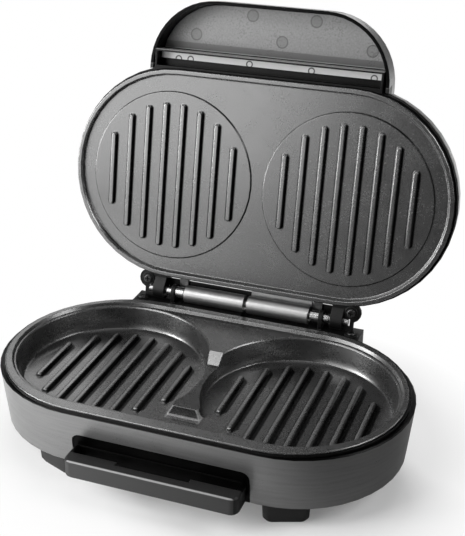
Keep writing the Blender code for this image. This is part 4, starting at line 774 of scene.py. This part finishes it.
def shadow_mask(tree):
    """How much of its shading the floor keeps: most in the wide oval, half close to the object."""
    shift = vector(tree, "SUBTRACT", place_of(tree), SHADOW_PLACE)
    length = measure(tree, "LENGTH", vector(tree, "MULTIPLY", shift, SHADOW_STRETCH))
    front = spread(tree, length, SHADOW_SHARE, 0.0, *SHADOW_FADE)

    across = calculate(tree, "ABSOLUTE", along(tree, X_AXIS))
    sideways = calculate(tree, "MAXIMUM", calculate(tree, "SUBTRACT", across, CONTACT_HALF_LENGTH), 0.0)
    endways = along(tree, Y_AXIS)
    squares = calculate(tree, "ADD", product(tree, sideways, sideways), product(tree, endways, endways))
    contact = spread(tree, calculate(tree, "SQRT", squares), CONTACT_SHARE, 0.0, *CONTACT_FADE)
    return calculate(tree, "MAXIMUM", front, contact)


def floor_material():
    """A pale floor that keeps the shadow near the object and turns plain white away from it; to the object
    it shows painted light on the left and painted shade on the right.
    """
    pale = grey(FLOOR_GREY)
    material, tree, shader = new_material("floor_white", pale, FLOOR_ROUGHNESS, 0.0, FLOOR_SPECULAR)
    seen = tree.nodes.new("ShaderNodeLightPath").outputs["Is Camera Ray"]
    turn = along(tree, Vector(UNSEEN_LEFT_SIDE).normalized())
    leftness = spread(tree, turn, 0.0, 1.0, *UNSEEN_TURN)
    # Painted light and shade seen only by the object: the floor pale on the left, dark on the right
    unseen = mix_colours(tree, leftness, grey(UNSEEN_RIGHT_SHADE_GREY), grey(UNSEEN_LEFT_LIGHT_GREY))
    link(tree, mix_colours(tree, seen, unseen, pale), shader.inputs["Base Color"])
    white = tree.nodes.new("ShaderNodeEmission")
    mix = tree.nodes.new("ShaderNodeMixShader")
    link(tree, product(tree, opposite(tree, shadow_mask(tree)), seen), mix.inputs["Fac"])
    link(tree, shader.outputs["BSDF"], mix.inputs[1])
    link(tree, white.outputs["Emission"], mix.inputs[2])
    link(tree, mix.outputs["Shader"], tree.nodes["Material Output"].inputs["Surface"])
    return material


def make_floor():
    """A plain pale floor."""
    size = FLOOR_HALF_SIZE
    corners = [(-size, -size, 0), (size, -size, 0), (size, size, 0), (-size, size, 0)]
    mesh = bpy.data.meshes.new("floor")
    mesh.from_pydata(corners, [], [(0, 1, 2, 3)])
    floor = bpy.data.objects.new("floor", mesh)
    floor.location.z = -FLOOR_DROP
    bpy.context.collection.objects.link(floor)
    floor.data.materials.append(floor_material())


def make_camera():
    """The photograph's view."""
    right = Vector(CAMERA_RIGHT).normalized()
    back = Vector(CAMERA_BACK).normalized()
    up = back.cross(right).normalized()
    data = bpy.data.cameras.new("camera")
    data.sensor_fit = "HORIZONTAL"
    data.sensor_width = SENSOR_WIDTH
    data.lens = CAMERA_LENS
    data.clip_start = CLIP_START
    camera = bpy.data.objects.new("camera", data)
    turn = Matrix((right, up, back)).transposed()
    camera.matrix_world = Matrix.Translation(CAMERA_PLACE) @ turn.to_4x4()
    bpy.context.collection.objects.link(camera)
    bpy.context.scene.camera = camera


bpy.context.scene.view_settings.view_transform = "Standard"
dress_nodes()
make_world()
make_floor()
add_lamps()
make_camera()
